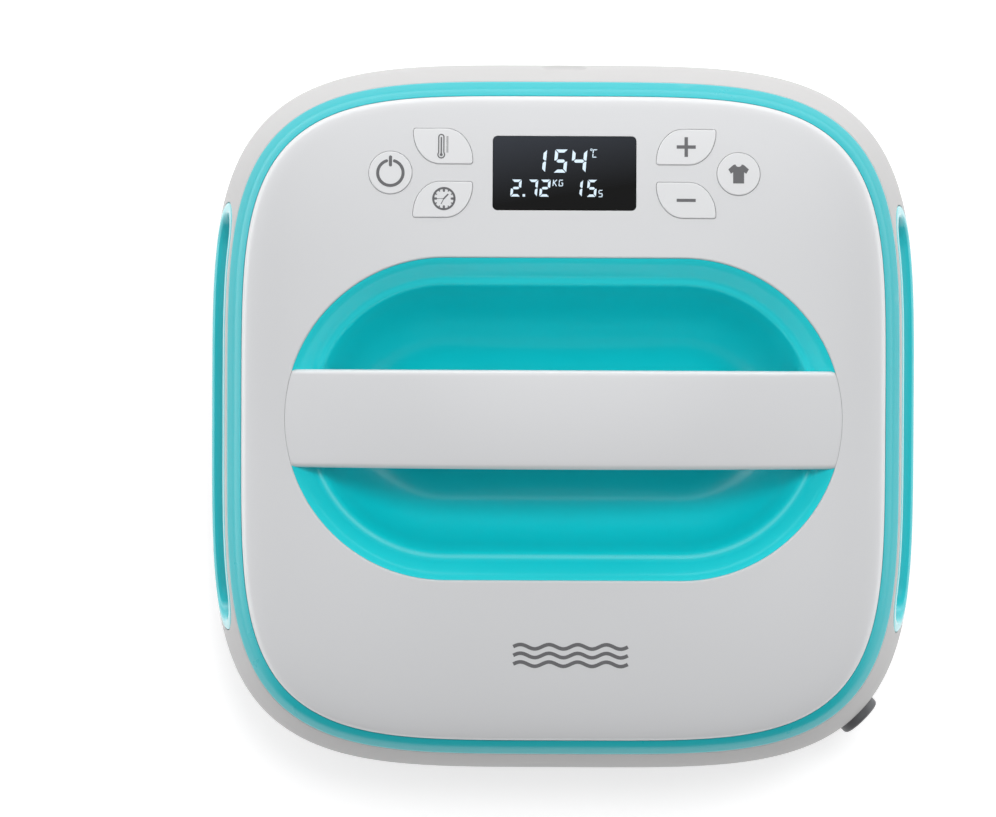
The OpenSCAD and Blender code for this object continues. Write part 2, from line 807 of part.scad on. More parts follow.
// A tubular element bent into one path, with both its ends near the middle
module heating_element() {
    turn = 22;
    outer = 104;
    color("sienna") {
        translate([0, 0, element_z]) for (s = [-1, 1]) {
            for (run = [[outer, -82, 164], [60, -60, 142], [lead_x, -60, 78]])
                translate([s * run[0], run[1], 0]) rotate([-90, 0, 0]) cylinder(r = element_r, h = run[2]);
            translate([s * 82, 82, 0]) bend(turn, 180);
            translate([s * 38, -60, 0]) rotate(180) bend(turn, 180);
            translate([s * 82, -82, 0]) rotate(s > 0 ? 270 : 180) bend(turn, 90);
        }
        translate([-82, -outer, element_z]) rotate([0, 90, 0]) cylinder(r = element_r, h = 164);
        lead_places() plug(1.5, element_z, insulation_z[0]);
    }
}

module bend(r, turn)
    rotate_extrude(angle = turn) translate([r, 0]) circle(element_r);

module lead_places()
    for (x = [-lead_x, lead_x]) translate([x, lead_y - 3, 0]) children();

// Insulated leads from the element's ends to the terminal block
module heater_leads() {
    curve = 6;
    color("white") lead_places() {
        plug(lead_r, insulation_z[0] + 0.05, lead_z - curve);
        translate([0, curve, lead_z - curve]) rotate([0, -90, 0]) rotate(-90)
            rotate_extrude(angle = 90) translate([curve, 0]) circle(lead_r);
        translate([0, curve, lead_z]) rotate([-90, 0, 0]) cylinder(r = lead_r, h = 62 - lead_y);
    }
}

module strap_places()
    for (x = [-104, 104], y = [-45, 45]) translate([x, y, 0]) children();

module element_straps() {
    color("silver") strap_places() difference() {
        union() {
            rotate([90, 0, 0]) translate([0, element_z, -5]) cylinder(r = element_r + 1.1, h = 10);
            translate([-11, -5, plate_t + 0.1]) cube([22, 10, 1]);
        }
        rotate([90, 0, 0]) translate([0, element_z, -6]) cylinder(r = element_r + 0.1, h = 12);
        translate([-element_r - 0.1, -6, plate_t - 2]) cube([2 * element_r + 0.2, 12, element_r + 2]);
        for (s = [-1, 1]) plug(1.6, plate_t - 1, plate_t + 3, [s * 8, 0]);
    }
}

module strap_screws()
    color("dimgray") strap_places() for (s = [-1, 1])
        translate([s * 8, 0, plate_t + 1.1]) mirror([0, 0, 1]) screw(1.25, 5, 2.3, 1.6);

module insulation_pad() {
    color("ivory") difference() {
        squircle_plate(112, plate_n, insulation_z[0], insulation_z[1]);
        four([post_xy, post_xy]) plug(post_r + 1, insulation_z[0] - 1, insulation_z[1] + 1);
        plug(10, insulation_z[0] - 1, insulation_z[1] + 1);
        lead_places() plug(4, insulation_z[0] - 1, insulation_z[1] + 1);
    }
}

module heat_shield() {
    color("silver") difference() {
        squircle_plate(114, plate_n, insulation_z[1], insulation_z[1] + shield_t);
        four([post_xy, post_xy]) plug(post_r + 1, insulation_z[1] - 1, insulation_z[1] + 2);
        plug(10, insulation_z[1] - 1, insulation_z[1] + 2);
        lead_places() plug(4, insulation_z[1] - 1, insulation_z[1] + 2);
    }
}

module plate_standoffs()
    color("white") four([post_xy, post_xy]) difference() {
        union() {
            plug(post_r, post_z, standoff_z);
            plug(post_r + 3, insulation_z[1] + shield_t, standoff_z);
        }
        plug(shoulder_r + 0.2, post_z - 1, standoff_z + 1);
    }

module load_pads()
    color("orange") four([post_xy, post_xy]) difference() {
        plug(6, standoff_z, pad_z - 0.05);
        plug(shoulder_r + 0.4, standoff_z - 1, pad_z + 1);
    }

// Shoulder screws that hang the plate from the chassis
module plate_screws() {
    top = ledge_z + chassis_t + 0.3;
    color("dimgray") four([post_xy, post_xy]) {
        plug(5.5, top, top + 3);
        plug(shoulder_r, post_z, top + 0.1);
        plug(2.05, plate_t + 2, post_z + 0.1);
    }
}

module thermal_cutout() {
    color("black") {
        plug(7.5, plate_t, plate_t + 9);
        for (s = [-1, 1]) translate([s * 4 - 2.5, -0.4, plate_t + 8.9]) cube([5, 0.8, 5]);
    }
}

module temperature_sensor() {
    color("silver") translate([0, -24, plate_t + 2]) {
        rotate([90, 0, 0]) cylinder(r = 2, h = 16);
        translate([-5, -14, -2]) cube([10, 12, 1]);
    }
}

lower_housing();
accent_ring();
top_cover();
grip_recess();
handle_cover();
handle_base();
handle_screws();
side_grip(-1);  // left_side_grip
side_grip(1);  // right_side_grip
base_skirt();
skirt_screws();
chassis_plate();
chassis_screws();
load_cell(-1, -1);  // front_left_load_cell
load_cell(1, -1);  // front_right_load_cell
load_cell(-1, 1);  // rear_left_load_cell
load_cell(1, 1);  // rear_right_load_cell
display_window();
lcd_module();
control_board();
tact_switches();
buzzer();
control_board_screws();
power_board();
relay();
triac_heatsink();
transformer();
fuse();
terminal_block();
board_standoffs();
power_board_screws();
cord_gland();
gland_nut();
cord_clamp();
clamp_screws();
ribbon_cable();
heat_plate();
heating_element();
heater_leads();
element_straps();
strap_screws();
insulation_pad();
heat_shield();
plate_standoffs();
plate_screws();
thermal_cutout();
temperature_sensor();
load_pads();
key_cap(0);  // power_button
key_cap(1);  // temperature_button
key_cap(2);  // timer_button
key_cap(3);  // plus_button
key_cap(4);  // minus_button
key_cap(5);  // preset_button
key_plunger(0);  // power_plunger
key_plunger(1);  // temperature_plunger
key_plunger(2);  // timer_plunger
key_plunger(3);  // plus_plunger
key_plunger(4);  // minus_plunger
key_plunger(5);  // preset_plunger
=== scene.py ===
"""Looks of a hand-held heat press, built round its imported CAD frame. Shapes are worked out in millimetres."""

import math

import bmesh
import bpy
import numpy as np
from mathutils import Matrix, Vector, geometry


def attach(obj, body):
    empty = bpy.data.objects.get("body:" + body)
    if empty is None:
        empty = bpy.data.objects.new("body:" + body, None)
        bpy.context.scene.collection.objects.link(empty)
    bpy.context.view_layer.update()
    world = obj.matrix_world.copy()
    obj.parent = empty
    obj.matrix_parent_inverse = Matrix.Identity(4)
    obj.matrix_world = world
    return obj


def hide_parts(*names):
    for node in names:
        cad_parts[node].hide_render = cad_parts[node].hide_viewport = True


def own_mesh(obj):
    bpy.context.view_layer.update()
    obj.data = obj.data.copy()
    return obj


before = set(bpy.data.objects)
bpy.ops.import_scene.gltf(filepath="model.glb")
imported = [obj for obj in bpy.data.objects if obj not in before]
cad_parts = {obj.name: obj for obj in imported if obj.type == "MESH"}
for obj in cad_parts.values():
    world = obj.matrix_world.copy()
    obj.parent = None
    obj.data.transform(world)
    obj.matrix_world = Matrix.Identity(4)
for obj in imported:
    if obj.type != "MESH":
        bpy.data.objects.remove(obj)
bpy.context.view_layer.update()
scene = bpy.context.scene
MM = 0.001

# ---------------------------------------------------------------- camera

CAMERA_DISTANCE = 1.300
CAMERA_ROLL = math.radians(0.24)


def camera():
    """A long lens that looks almost straight down."""
    cam = bpy.data.objects.new("camera", bpy.data.cameras.new("camera"))
    scene.collection.objects.link(cam)
    scene.camera = cam
    cam.data.lens = 109.9
    cam.data.sensor_width = 36.0
    cam.data.shift_x = -0.0653
    cam.data.shift_y = 0.0085
    cam.data.clip_end = 20.0
    aim = Vector((0.0, 0.0, 0.045))
    back = Vector((-0.0034, 0.0181, 1.0)).normalized()
    across = Vector((math.cos(CAMERA_ROLL), math.sin(CAMERA_ROLL), 0.0))
    across = (across - back * across.dot(back)).normalized()
    turn = Matrix((across, back.cross(across), back)).transposed()
    cam.matrix_world = Matrix.Translation(aim + back * CAMERA_DISTANCE) @ turn.to_4x4()


camera()

# ---------------------------------------------------------------- shape of the press

# body: half width, exponent of its squircle, and the heights of its widest line, its seam and its foot
BODY_HALF, BODY_N, WIDE_Z, SEAM_Z, BASE_Z = 150.0, 4.1, 45.0, 84.0, 14.0
SEAM_HALF, BASE_HALF, RING_N = BODY_HALF - 10.4, BODY_HALF - 8.5, 4.2
# top cover: half width, exponent, height of its rim, height and roundness of its dome
COVER_HALF, COVER_N, RIM_Z, CROWN, CROWN_P = 132.8, 4.35, 91.0, 12.0, 2.5
# grip recess: half length of its straight sides, radius of its ends, floor and the cover's lip round it
FLAT, RADIUS, FLOOR_Z, LIP_R = 48.4, 66.0, 60.0, 0.8
# handle: radius and top of its arch, half width, thickness and depth of the joint between its halves
ARCH_R, CREST_Z, HANDLE_W, HANDLE_T, SPLIT = 318.0, 119.0, 20.1, 22.0, 9.0
# side grips: half length, middle height, radius of the ends and place of the floor
GRIP_HALF, GRIP_Z, GRIP_R, GRIP_FLOOR = 90.0, 62.0, 18.0, 131.0
# control panel: its middle, the gap round a key and how far a key stands out
PANEL_Y, KEY_GAP, KEY_LIFT = 100.7, 0.12, 0.30
# cord gland: height, and where it starts and ends along the diagonal
GLAND_Z, GLAND_BACK, GLAND_FACE = 40.0, 172.2, 182.5
# heated plate: half width, exponent and thickness
PLATE_HALF, PLATE_N, PLATE_T = 127.0, 5.0, 10.0

X_AXIS, Y_AXIS, Z_AXIS = np.eye(3)
TO_GLAND = (X_AXIS - Y_AXIS) / math.sqrt(2)
ACROSS_GLAND = (X_AXIS + Y_AXIS) / math.sqrt(2)


def turn_of(count):
    """Even angles round a full turn."""
    return np.arange(count) * 2 * math.pi / count


def quarter(steps):
    """Cosine and sine of even angles through a right angle."""
    return [(math.cos(a), math.sin(a)) for a in np.linspace(0, math.pi / 2, steps + 1)]


def squircle_r(a, n, t):
    return a / (abs(np.cos(t)) ** n + abs(np.sin(t)) ** n) ** (1.0 / n)


def squircle_loop(a, z, n, count=360):
    t = turn_of(count)
    r = squircle_r(a, n, t)
    return np.stack([r * np.cos(t), r * np.sin(t), np.full(count, float(z))], 1)


def dome(x, y):
    """Height of the top cover and its upward normal."""
    x, y = np.asarray(x, float), np.asarray(y, float)
    rho = np.maximum((abs(x) ** COVER_N + abs(y) ** COVER_N) ** (1 / COVER_N), 1e-9)
    s = np.clip(rho / COVER_HALF, 1e-6, 0.9999)
    body = 1 - s**CROWN_P
    z = RIM_Z + CROWN * body ** (1 / CROWN_P)
    slope = -CROWN * s ** (CROWN_P - 1) * body ** (1 / CROWN_P - 1) / COVER_HALF
    gx = slope * np.sign(x) * (abs(x) / rho) ** (COVER_N - 1)
    gy = slope * np.sign(y) * (abs(y) / rho) ** (COVER_N - 1)
    n = np.stack([-gx, -gy, np.ones_like(gx)], -1)
    return z, n / np.linalg.norm(n, axis=-1, keepdims=True)


def dome_loop(xy):
    """Points on the cover over flat ones, and their normals."""
    z, n = dome(xy[:, 0], xy[:, 1])
    return np.column_stack([xy, z]), n


def side_half(z):
    """Half width of the body at a height."""
    z = np.asarray(z, float)
    high = np.clip((z - WIDE_Z) / (SEAM_Z - WIDE_Z), 0, None)
    low = np.clip((WIDE_Z - z) / (WIDE_Z - BASE_Z), 0, None)
    return BODY_HALF - (BODY_HALF - SEAM_HALF) * high**1.4 - (BODY_HALF - BASE_HALF) * low**2.2


def side_n(z):
    """Exponent of the body's squircle at a height: it turns into the ring's near the seam."""
    return BODY_N + (RING_N - BODY_N) * np.clip((np.asarray(z, float) - 66) / 18, 0, 1)


def side_x(y, z):
    a, n = side_half(z), side_n(z)
    return a * (1 - (abs(np.asarray(y, float)) / a) ** n) ** (1 / n)


def side_point(t, z):
    r = squircle_r(side_half(z), side_n(z), t)
    return np.stack([r * np.cos(t), r * np.sin(t), z + 0 * r], -1)


def side_normal(t, z):
    e = 1e-3
    du = side_point(t + e, z) - side_point(t - e, z)
    dv = side_point(t, z + e) - side_point(t, z - e)
    n = np.cross(du, dv)
    return n / np.linalg.norm(n, axis=-1, keepdims=True)


def arch(x):
    return CREST_Z - np.asarray(x, float) ** 2 / (2 * ARCH_R)


TILT = math.atan(float(dome(0, PANEL_Y - 0.5)[0] - dome(0, PANEL_Y + 0.5)[0]))
PANEL_PLACE = np.array([0, PANEL_Y, float(dome(0, PANEL_Y)[0])])
PANEL_AXES = np.array([
    [1, 0, 0], [0, math.cos(TILT), -math.sin(TILT)], [0, math.sin(TILT), math.cos(TILT)],
])


def on_panel(x, v, w):
    """From the control panel's own frame to the press's."""
    p = np.stack(np.broadcast_arrays(np.asarray(x, float), v, w), -1)
    return p @ PANEL_AXES + PANEL_PLACE


def panel_w(x, v):
    """Height of the cover's face over the panel's plane."""
    w = np.zeros(np.broadcast(x, v).shape)
    for _ in range(4):
        p = on_panel(x, v, w)
        w = w + (dome(p[..., 0], p[..., 1])[0] - p[..., 2]) / math.cos(TILT)
    return w


def stadium(flat, r, arc=56, straight=36):
    """Points round a stadium, anticlockwise from its right end, with the outward direction at each."""
    pts, out = [], []

    def turn(cx, a0, a1, n):
        for i in range(n):
            a = math.radians(a0 + (a1 - a0) * i / n)
            pts.append((cx + r * math.cos(a), r * math.sin(a)))
            out.append((math.cos(a), math.sin(a)))

    def run(x0, x1, y, d):
        for i in range(straight):
            pts.append((x0 + (x1 - x0) * i / straight, y))
            out.append((0, d))

    turn(flat, 0, 90, arc // 2)
    run(flat, -flat, r, 1)
    turn(-flat, 90, 270, arc)
    run(-flat, flat, -r, -1)
    turn(flat, 270, 360, arc // 2)
    return np.array(pts), np.array(out)


def densify(pts, out, step=0.9):
    """Adds points along the straight stretches of a loop."""
    p, o = [], []
    for i in range(len(pts)):
        a, b = pts[i], pts[(i + 1) % len(pts)]
        n = max(1, int(np.linalg.norm(b - a) / step))
        for k in range(n):
            s = k / n
            p.append(a * (1 - s) + b * s)
            d = out[i] * (1 - s) + out[(i + 1) % len(pts)] * s
            o.append(d / max(np.linalg.norm(d), 1e-9))
    return np.array(p), np.array(o)


def fillet(points, radii, steps=5):
    """Rounds the corners of an open chain of points in any number of dimensions."""
    out = [np.array(points[0], float)]
    for i in range(1, len(points) - 1):
        a, b, c = (np.array(points[k], float) for k in (i - 1, i, i + 1))
        u, v = a - b, c - b
        lu, lv = np.linalg.norm(u[:2]), np.linalg.norm(v[:2])
        d = min(radii[i - 1], 0.45 * lu, 0.45 * lv)
        p, q = b + u * (d / lu), b + v * (d / lv)
        for k in range(steps + 1):
            s = k / steps
            out.append((1 - s) ** 2 * p + 2 * s * (1 - s) * b + s * s * q)
    out.append(np.array(points[-1], float))
    return np.array(out)


# ---------------------------------------------------------------- meshes


class Skin:
    """A mesh in the making: points, their normals and the faces between them."""

    def __init__(self):
        self.co, self.no, self.faces = [], [], []

    def add(self, co, no=None):
        start = len(self.co)
        co = np.asarray(co, float).reshape(-1, 3)
        no = np.zeros_like(co) if no is None else np.broadcast_to(np.asarray(no, float), co.shape)
        self.co += list(co)
        self.no += list(no)
        return list(range(start, start + len(co)))

    def points(self, ids):
        return np.array([self.co[i] for i in ids])

    def strip(self, a, b, closed=True):
        k = len(a)
        for i in range(k if closed else k - 1):
            j = (i + 1) % k
            self.faces.append((a[i], a[j], b[j], b[i]))

    def bridge(self, made, flip=False, closed=True):
        """Faces between each loop and the next."""
        for a, b in zip(made, made[1:]):
            if flip:
                a, b = b, a
            self.strip(a, b, closed)

    def loops(self, rings, normals=None, flip=False):
        made = [self.add(r, n) for r, n in zip(rings, normals or [None] * len(rings))]
        self.bridge(made, flip)
        return made

    def cap(self, loop, flip=False):
        self.faces.append(tuple(reversed(loop)) if flip else tuple(loop))

    def fill(self, flat, outer, holes, extra):
        """Triangles inside outer and outside holes; flat gives each point's place in the plane."""
        used = list(outer) + [i for h in holes for i in h] + list(extra)
        where = {v: i for i, v in enumerate(used)}
        edges = []
        for loop in [outer, *holes]:
            edges += [(where[loop[i]], where[loop[(i + 1) % len(loop)]]) for i in range(len(loop))]
        co = [Vector((float(flat[v][0]), float(flat[v][1]))) for v in used]
        pts, _, faces, orig, _, _ = geometry.delaunay_2d_cdt(co, edges, [], 0, 1e-7, True)
        names = [used[o[0]] if o else None for o in orig]
        xy = np.array([tuple(p) for p in pts])
        tri = np.array([f for f in faces if len(f) == 3])
        mid = xy[tri].mean(1)
        keep = inside(mid, np.array([flat[v] for v in outer]))
        for h in holes:
            keep &= ~inside(mid, np.array([flat[v] for v in h]))
        for f in tri[keep]:
            a, b, c = xy[f]
            area = (b[0] - a[0]) * (c[1] - a[1]) - (b[1] - a[1]) * (c[0] - a[0])
            ids = [names[i] for i in f]
            if None in ids or abs(area) < 1e-9:
                continue
            self.faces.append(tuple(ids if area > 0 else ids[::-1]))

    def build(self, name, material, body, own_normals=False, sharp=40):
        """Makes the object; edges over sharp degrees are split unless it has its own normals."""
        mesh = bpy.data.meshes.new(name)
        mesh.from_pydata([tuple(p * MM) for p in self.co], [], self.faces)
        mesh.validate()
        obj = bpy.data.objects.new(name, mesh)
        scene.collection.objects.link(obj)
        mesh.polygons.foreach_set("use_smooth", [True] * len(mesh.polygons))
        if own_normals:
            no = np.array(self.no)
            length = np.linalg.norm(no, axis=1, keepdims=True)
            mesh.normals_split_custom_set_from_vertices((no / np.maximum(length, 1e-9)).tolist())
        elif sharp:
            split_by_angle(mesh, sharp)
        mesh.materials.append(material)
        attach(obj, body)
        return obj


def inside(points, loop):
    x, y = points[:, 0][:, None], points[:, 1][:, None]
    x1, y1 = loop[:, 0][None], loop[:, 1][None]
    x2, y2 = np.roll(loop[:, 0], -1)[None], np.roll(loop[:, 1], -1)[None]
    with np.errstate(divide="ignore", invalid="ignore"):
        hit = ((y1 > y) != (y2 > y)) & (x < (x2 - x1) * (y - y1) / (y2 - y1) + x1)
    return hit.sum(1) % 2 == 1


def clear_of(points, others, gap):
    """Which of the points are further than gap from all the others."""
    return np.min(np.linalg.norm(points[:, None] - others[None], axis=2), axis=1) > gap


def split_by_angle(mesh, degrees):
    bm = bmesh.new()
    bm.from_mesh(mesh)
    for e in bm.edges:
        e.smooth = not (len(e.link_faces) == 2 and e.calc_face_angle(0) > math.radians(degrees))
    bm.to_mesh(mesh)
    bm.free()


def turned_loops(profile, start, e1, e2, count):
    """Rings of a lathe: profile gives (radius, distance from start along e1 x e2)."""
    a = turn_of(count)
    along = np.cross(e1, e2)
    return [start + np.outer(np.cos(a) * r, e1) + np.outer(np.sin(a) * r, e2) + h * along for r, h in profile]


# ---------------------------------------------------------------- materials


def new_material(name):
    m = bpy.data.materials.new(name)
    m.use_nodes = True
    return m, m.node_tree, m.node_tree.nodes["Principled BSDF"]


def set_inputs(nt, node, values):
    """Sets a node's inputs, and links those whose value is another node's output."""
    for name, value in values.items():
        if isinstance(value, bpy.types.NodeSocket):
            nt.links.new(value, node.inputs[name])
        else:
            node.inputs[name].default_value = value


def add_node(nt, kind, output, values, **settings):
    node = nt.nodes.new("ShaderNode" + kind)
    for name, value in settings.items():
        setattr(node, name, value)
    set_inputs(nt, node, values)
    return node.outputs[output]


def place(nt, kind="Object"):
    return add_node(nt, "TexCoord", kind, {})


def axes_of(nt, vector):
    """The x, y and z outputs of a vector."""
    split = nt.nodes.new("ShaderNodeSeparateXYZ")
    nt.links.new(vector, split.inputs[0])
    return split.outputs


def noise(nt, scale, detail, roughness=0.5, coords=None):
    coords = place(nt) if coords is None else coords
    values = {"Scale": scale, "Detail": detail, "Roughness": roughness, "Vector": coords}
    return add_node(nt, "TexNoise", "Fac", values)


def remap(nt, value, low, high, out_low=0.0, out_high=1.0):
    values = {"Value": value, "From Min": low, "From Max": high, "To Min": out_low, "To Max": out_high}
    return add_node(nt, "MapRange", "Result", values)


def maths(nt, operation, a, b):
    return add_node(nt, "Math", 0, {0: a, 1: b}, operation=operation)


def mix(nt, factor, a, b):
    """Blends two colours, each a tuple or a node's output."""
    a, b = ((*c, 1) if isinstance(c, tuple) else c for c in (a, b))
    return add_node(nt, "Mix", 2, {"Factor": factor, 6: a, 7: b}, data_type="RGBA")


def drift(nt, value, low, high, a, b):
    """A colour that goes from a to b as value goes from low to high."""
    return mix(nt, remap(nt, value, low, high), a, b)


def bump(nt, height, strength, distance):
    return add_node(nt, "Bump", "Normal", {"Strength": strength, "Distance": distance, "Height": height})


def shade(colour, k):
    return tuple(min(1.0, x * k) for x in colour)


def moulded(name, colour, rough, spread=0.04, tint=0.03, grain=2600, relief=2e-6, coat=0.0, coat_rough=0.05,
            wear=0.06, ior=1.5):
    """Moulded plastic or ceramic: fine grain, slow drift of colour and gloss, paler rubbed edges."""
    m, nt, shader = new_material(name)
    body = drift(nt, noise(nt, 9.0, 2.0), 0.3, 0.7, shade(colour, 1 - tint), shade(colour, 1 + tint))
    edge = add_node(nt, "NewGeometry", "Pointiness", {})
    pale = tuple(min(1, c + (1 - c) * 0.55) for c in colour)
    smudge = noise(nt, 38.0, 5.0, 0.62)
    set_inputs(nt, shader, {
        "Base Color": mix(nt, remap(nt, edge, 0.53, 0.60, 0.0, wear), body, pale),
        "Roughness": remap(nt, smudge, 0.25, 0.75, rough - spread, rough + spread),
        "Normal": bump(nt, noise(nt, grain, 2.0), 0.35, relief),
        "IOR": ior, "Coat Weight": coat, "Coat Roughness": coat_rough,
    })
    return m


def brushed(name, colour, rough=0.32, grain=(1600, 60, 60)):
    """Metal with fine scratches that run one way."""
    m, nt, shader = new_material(name)
    along = add_node(nt, "Mapping", "Vector", {"Scale": grain, "Vector": place(nt)})
    streak = noise(nt, 1.0, 4.0, 0.6, along)
    set_inputs(nt, shader, {
        "Base Color": drift(nt, noise(nt, 45.0, 3.0), 0.3, 0.7, shade(colour, 0.9), shade(colour, 1.06)),
        "Roughness": remap(nt, streak, 0.2, 0.8, rough - 0.08, rough + 0.12),
        "Normal": bump(nt, streak, 0.3, 4e-6),
        "Metallic": 1.0,
    })
    return m


def fibrous(name, colour, scale=900.0):
    """Matt, rough-faced fibre board or woven sleeve."""
    m, nt, shader = new_material(name)
    strands = noise(nt, scale, 6.0, 0.7)
    set_inputs(nt, shader, {
        "Base Color": drift(nt, noise(nt, 30.0, 3.0), 0.3, 0.7, shade(colour, 0.9), shade(colour, 1.05)),
        "Roughness": remap(nt, strands, 0.2, 0.8, 0.85, 1.0),
        "Normal": bump(nt, strands, 0.8, 0.0002),
    })
    return m


def circuit(name):
    """Green solder mask with paler tracks and small pads."""
    m, nt, shader = new_material(name)
    values = {"Scale": 260.0, "Vector": place(nt)}
    cells = add_node(nt, "TexVoronoi", "Distance", values, distance="MANHATTAN")
    track = remap(nt, cells, 0.40, 0.46)
    pad = remap(nt, cells, 0.10, 0.14, 1.0, 0.0)
    green = mix(nt, track, (0.012, 0.12, 0.045), (0.03, 0.21, 0.085))
    set_inputs(nt, shader, {
        "Base Color": mix(nt, pad, green, (0.55, 0.50, 0.30)),
        "Roughness": remap(nt, pad, 0, 1, 0.34, 0.2),
        "Normal": bump(nt, track, 0.4, 0.00003),
    })
    return m


def glass_with_painted_reflection(name):
    """Dark display glass with a faint haze; its colour carries a painted reflection, palest at the upper left."""
    m, nt, shader = new_material(name)
    x, y, _ = axes_of(nt, place(nt, "Generated"))
    # Painted reflection: the glass's colour grows paler towards the top and the left.
    painted_reflection = maths(nt, "SUBTRACT", y, remap(nt, x, 0.0, 1.0, 0.0, 0.3))
    haze = noise(nt, 500.0, 2.0)
    set_inputs(nt, shader, {
        "Base Color": drift(nt, painted_reflection, 0.05, 1.0, (0.0012, 0.0012, 0.0012), (0.036, 0.041, 0.052)),
        "Roughness": remap(nt, haze, 0.3, 0.7, 0.12, 0.16),
        "Normal": bump(nt, haze, 0.2, 1e-7),
        "IOR": 1.2,
    })
    return m


def glow(name, colour, strength):
    """Lit segments of the display, slightly uneven."""
    m, nt, shader = new_material(name)
    set_inputs(nt, shader, {
        "Emission Color": drift(nt, noise(nt, 700.0, 1.0), 0.3, 0.7, shade(colour, 0.92), colour),
        "Emission Strength": strength, "Base Color": (*colour, 1), "Roughness": 0.4,
    })
    return m


def coated_plate(name):
    """Dark non-stick coating: fine speckle, and blotches where cloth has polished it."""
    m, nt, shader = new_material(name)
    speck = noise(nt, 2400.0, 2.0)
    rub = noise(nt, 22.0, 4.0, 0.6)
    set_inputs(nt, shader, {
        "Base Color": drift(nt, speck, 0.60, 0.70, (0.020, 0.020, 0.022), (0.075, 0.075, 0.08)),
        "Roughness": remap(nt, rub, 0.3, 0.7, 0.34, 0.50),
        "Normal": bump(nt, speck, 0.3, 8e-6),
        "Metallic": 0.35,
    })
    return m


def paper(name):
    """The white floor, lit a little from within."""
    m, nt, shader = new_material(name)
    set_inputs(nt, shader, {
        "Base Color": drift(nt, noise(nt, 300.0, 3.0), 0.3, 0.7, (0.80, 0.80, 0.80), (0.82, 0.82, 0.82)),
        "Roughness": 0.9, "Specular IOR Level": 0.0, "Emission Color": (1, 1, 1, 1), "Emission Strength": 0.50,
    })
    return m


WHITE, WALL_SHADED, KEY = (0.73, 0.732, 0.742), (0.545, 0.537, 0.533), (0.80, 0.802, 0.81)
BOWL_PAINTED_LIGHT, GRIP, RING = (0.001, 0.71, 0.77), (0.01, 0.55, 0.60), (0.004, 0.48, 0.53)
GREY, NYLON, GLAND, PRINT = (0.10, 0.104, 0.11), (0.035, 0.036, 0.04), (0.10, 0.102, 0.108), (0.15, 0.15, 0.156)
mat_white = moulded("white_gloss", WHITE, 0.34, spread=0.012, coat=0.55, coat_rough=0.06, tint=0.008, relief=6e-7)
# The side wall is the same white plastic as the cover; its colour is set greyer here as painted shade.
mat_wall_shaded = moulded("white_wall_painted_shade", WALL_SHADED, 0.5, spread=0.02, tint=0.012, ior=1.25)
mat_key = moulded("key_white", KEY, 0.34, spread=0.02, coat=0.2, coat_rough=0.15, tint=0.008)
# The bowl is the same teal plastic as the ring and the grips; its colour is set paler here as painted light in the
# shaded recess.
mat_teal_painted_light = moulded("teal_satin_painted_light", BOWL_PAINTED_LIGHT, 0.36, coat=0.85, coat_rough=0.12, tint=0.03, wear=0.03)
mat_grip = moulded("teal_grip", GRIP, 0.32, coat=0.9, coat_rough=0.16, tint=0.03, wear=0.03)
mat_ring = moulded("teal_ring", RING, 0.3, coat=0.7, coat_rough=0.14, ior=1.35, tint=0.02, wear=0.05)
mat_skirt = moulded("skirt_grey", GREY, 0.55, grain=1500, relief=2e-5, tint=0.05)
mat_dark = moulded("dark_nylon", NYLON, 0.45, grain=1800, relief=8e-6, tint=0.06)
mat_gland = moulded("gland_grey", GLAND, 0.42, grain=1500, relief=1e-5, tint=0.05, wear=0.12)
mat_print = moulded("key_print", PRINT, 0.5, grain=2000, tint=0.03, wear=0.0)
mat_glass = glass_with_painted_reflection("display_black")
mat_digits = glow("display_segments", (0.55, 0.66, 0.75), 0.50)
mat_plate = coated_plate("nonstick_plate")
mat_steel = brushed("sheet_steel", (0.60, 0.61, 0.62))
mat_screw = brushed("screw_black", (0.10, 0.10, 0.105), 0.38)
mat_zinc = brushed("screw_zinc", (0.68, 0.69, 0.70), 0.3)
mat_sheath = brushed("element_sheath", (0.20, 0.155, 0.13), 0.42)
mat_sink = brushed("heatsink", (0.72, 0.73, 0.74), 0.35, (60, 60, 1400))
mat_brass = brushed("brass", (0.70, 0.50, 0.20), 0.28)
mat_board = circuit("circuit_board")
mat_pad = fibrous("fibre_pad", (0.82, 0.79, 0.70))
mat_sleeve = fibrous("lead_sleeve", (0.78, 0.76, 0.70), 2500)
mat_ceramic = moulded("ceramic", (0.84, 0.83, 0.79), 0.3, coat=0.4, tint=0.02)
mat_silicone = moulded("silicone", (0.34, 0.045, 0.022), 0.6, grain=1500, relief=1e-5)
mat_blue = moulded("relay_blue", (0.012, 0.06, 0.30), 0.35)
mat_yellow = moulded("winding_tape", (0.62, 0.42, 0.03), 0.4)
mat_ivory = moulded("terminal_ivory", (0.74, 0.70, 0.56), 0.4)
mat_ribbon = moulded("ribbon", (0.42, 0.42, 0.43), 0.5)

# ---------------------------------------------------------------- control panel shapes

# each key's place on the panel and its kind: 0 is round, 1 and -1 are the two ways round of a leaf
ROUND_X, LEAF_X, LEAF_V = 71.2, 49.75, 11.0
KEYS = {
    "power": (-ROUND_X, 0.0, 0), "temperature": (-LEAF_X, LEAF_V, 1), "timer": (-LEAF_X, -LEAF_V, -1),
    "plus": (LEAF_X, LEAF_V, -1), "minus": (LEAF_X, -LEAF_V, 1), "preset": (ROUND_X, 0.0, 0),
}
ROUND_R, LEAF_W, LEAF_H, BIG, SMALL = 8.8, 24.3, 14.75, (11.0, 13.5), (1.0, 1.0)
WINDOW_W, WINDOW_H, WINDOW_R, WINDOW_GAP = 58.5, 30.4, 1.8, 0.15


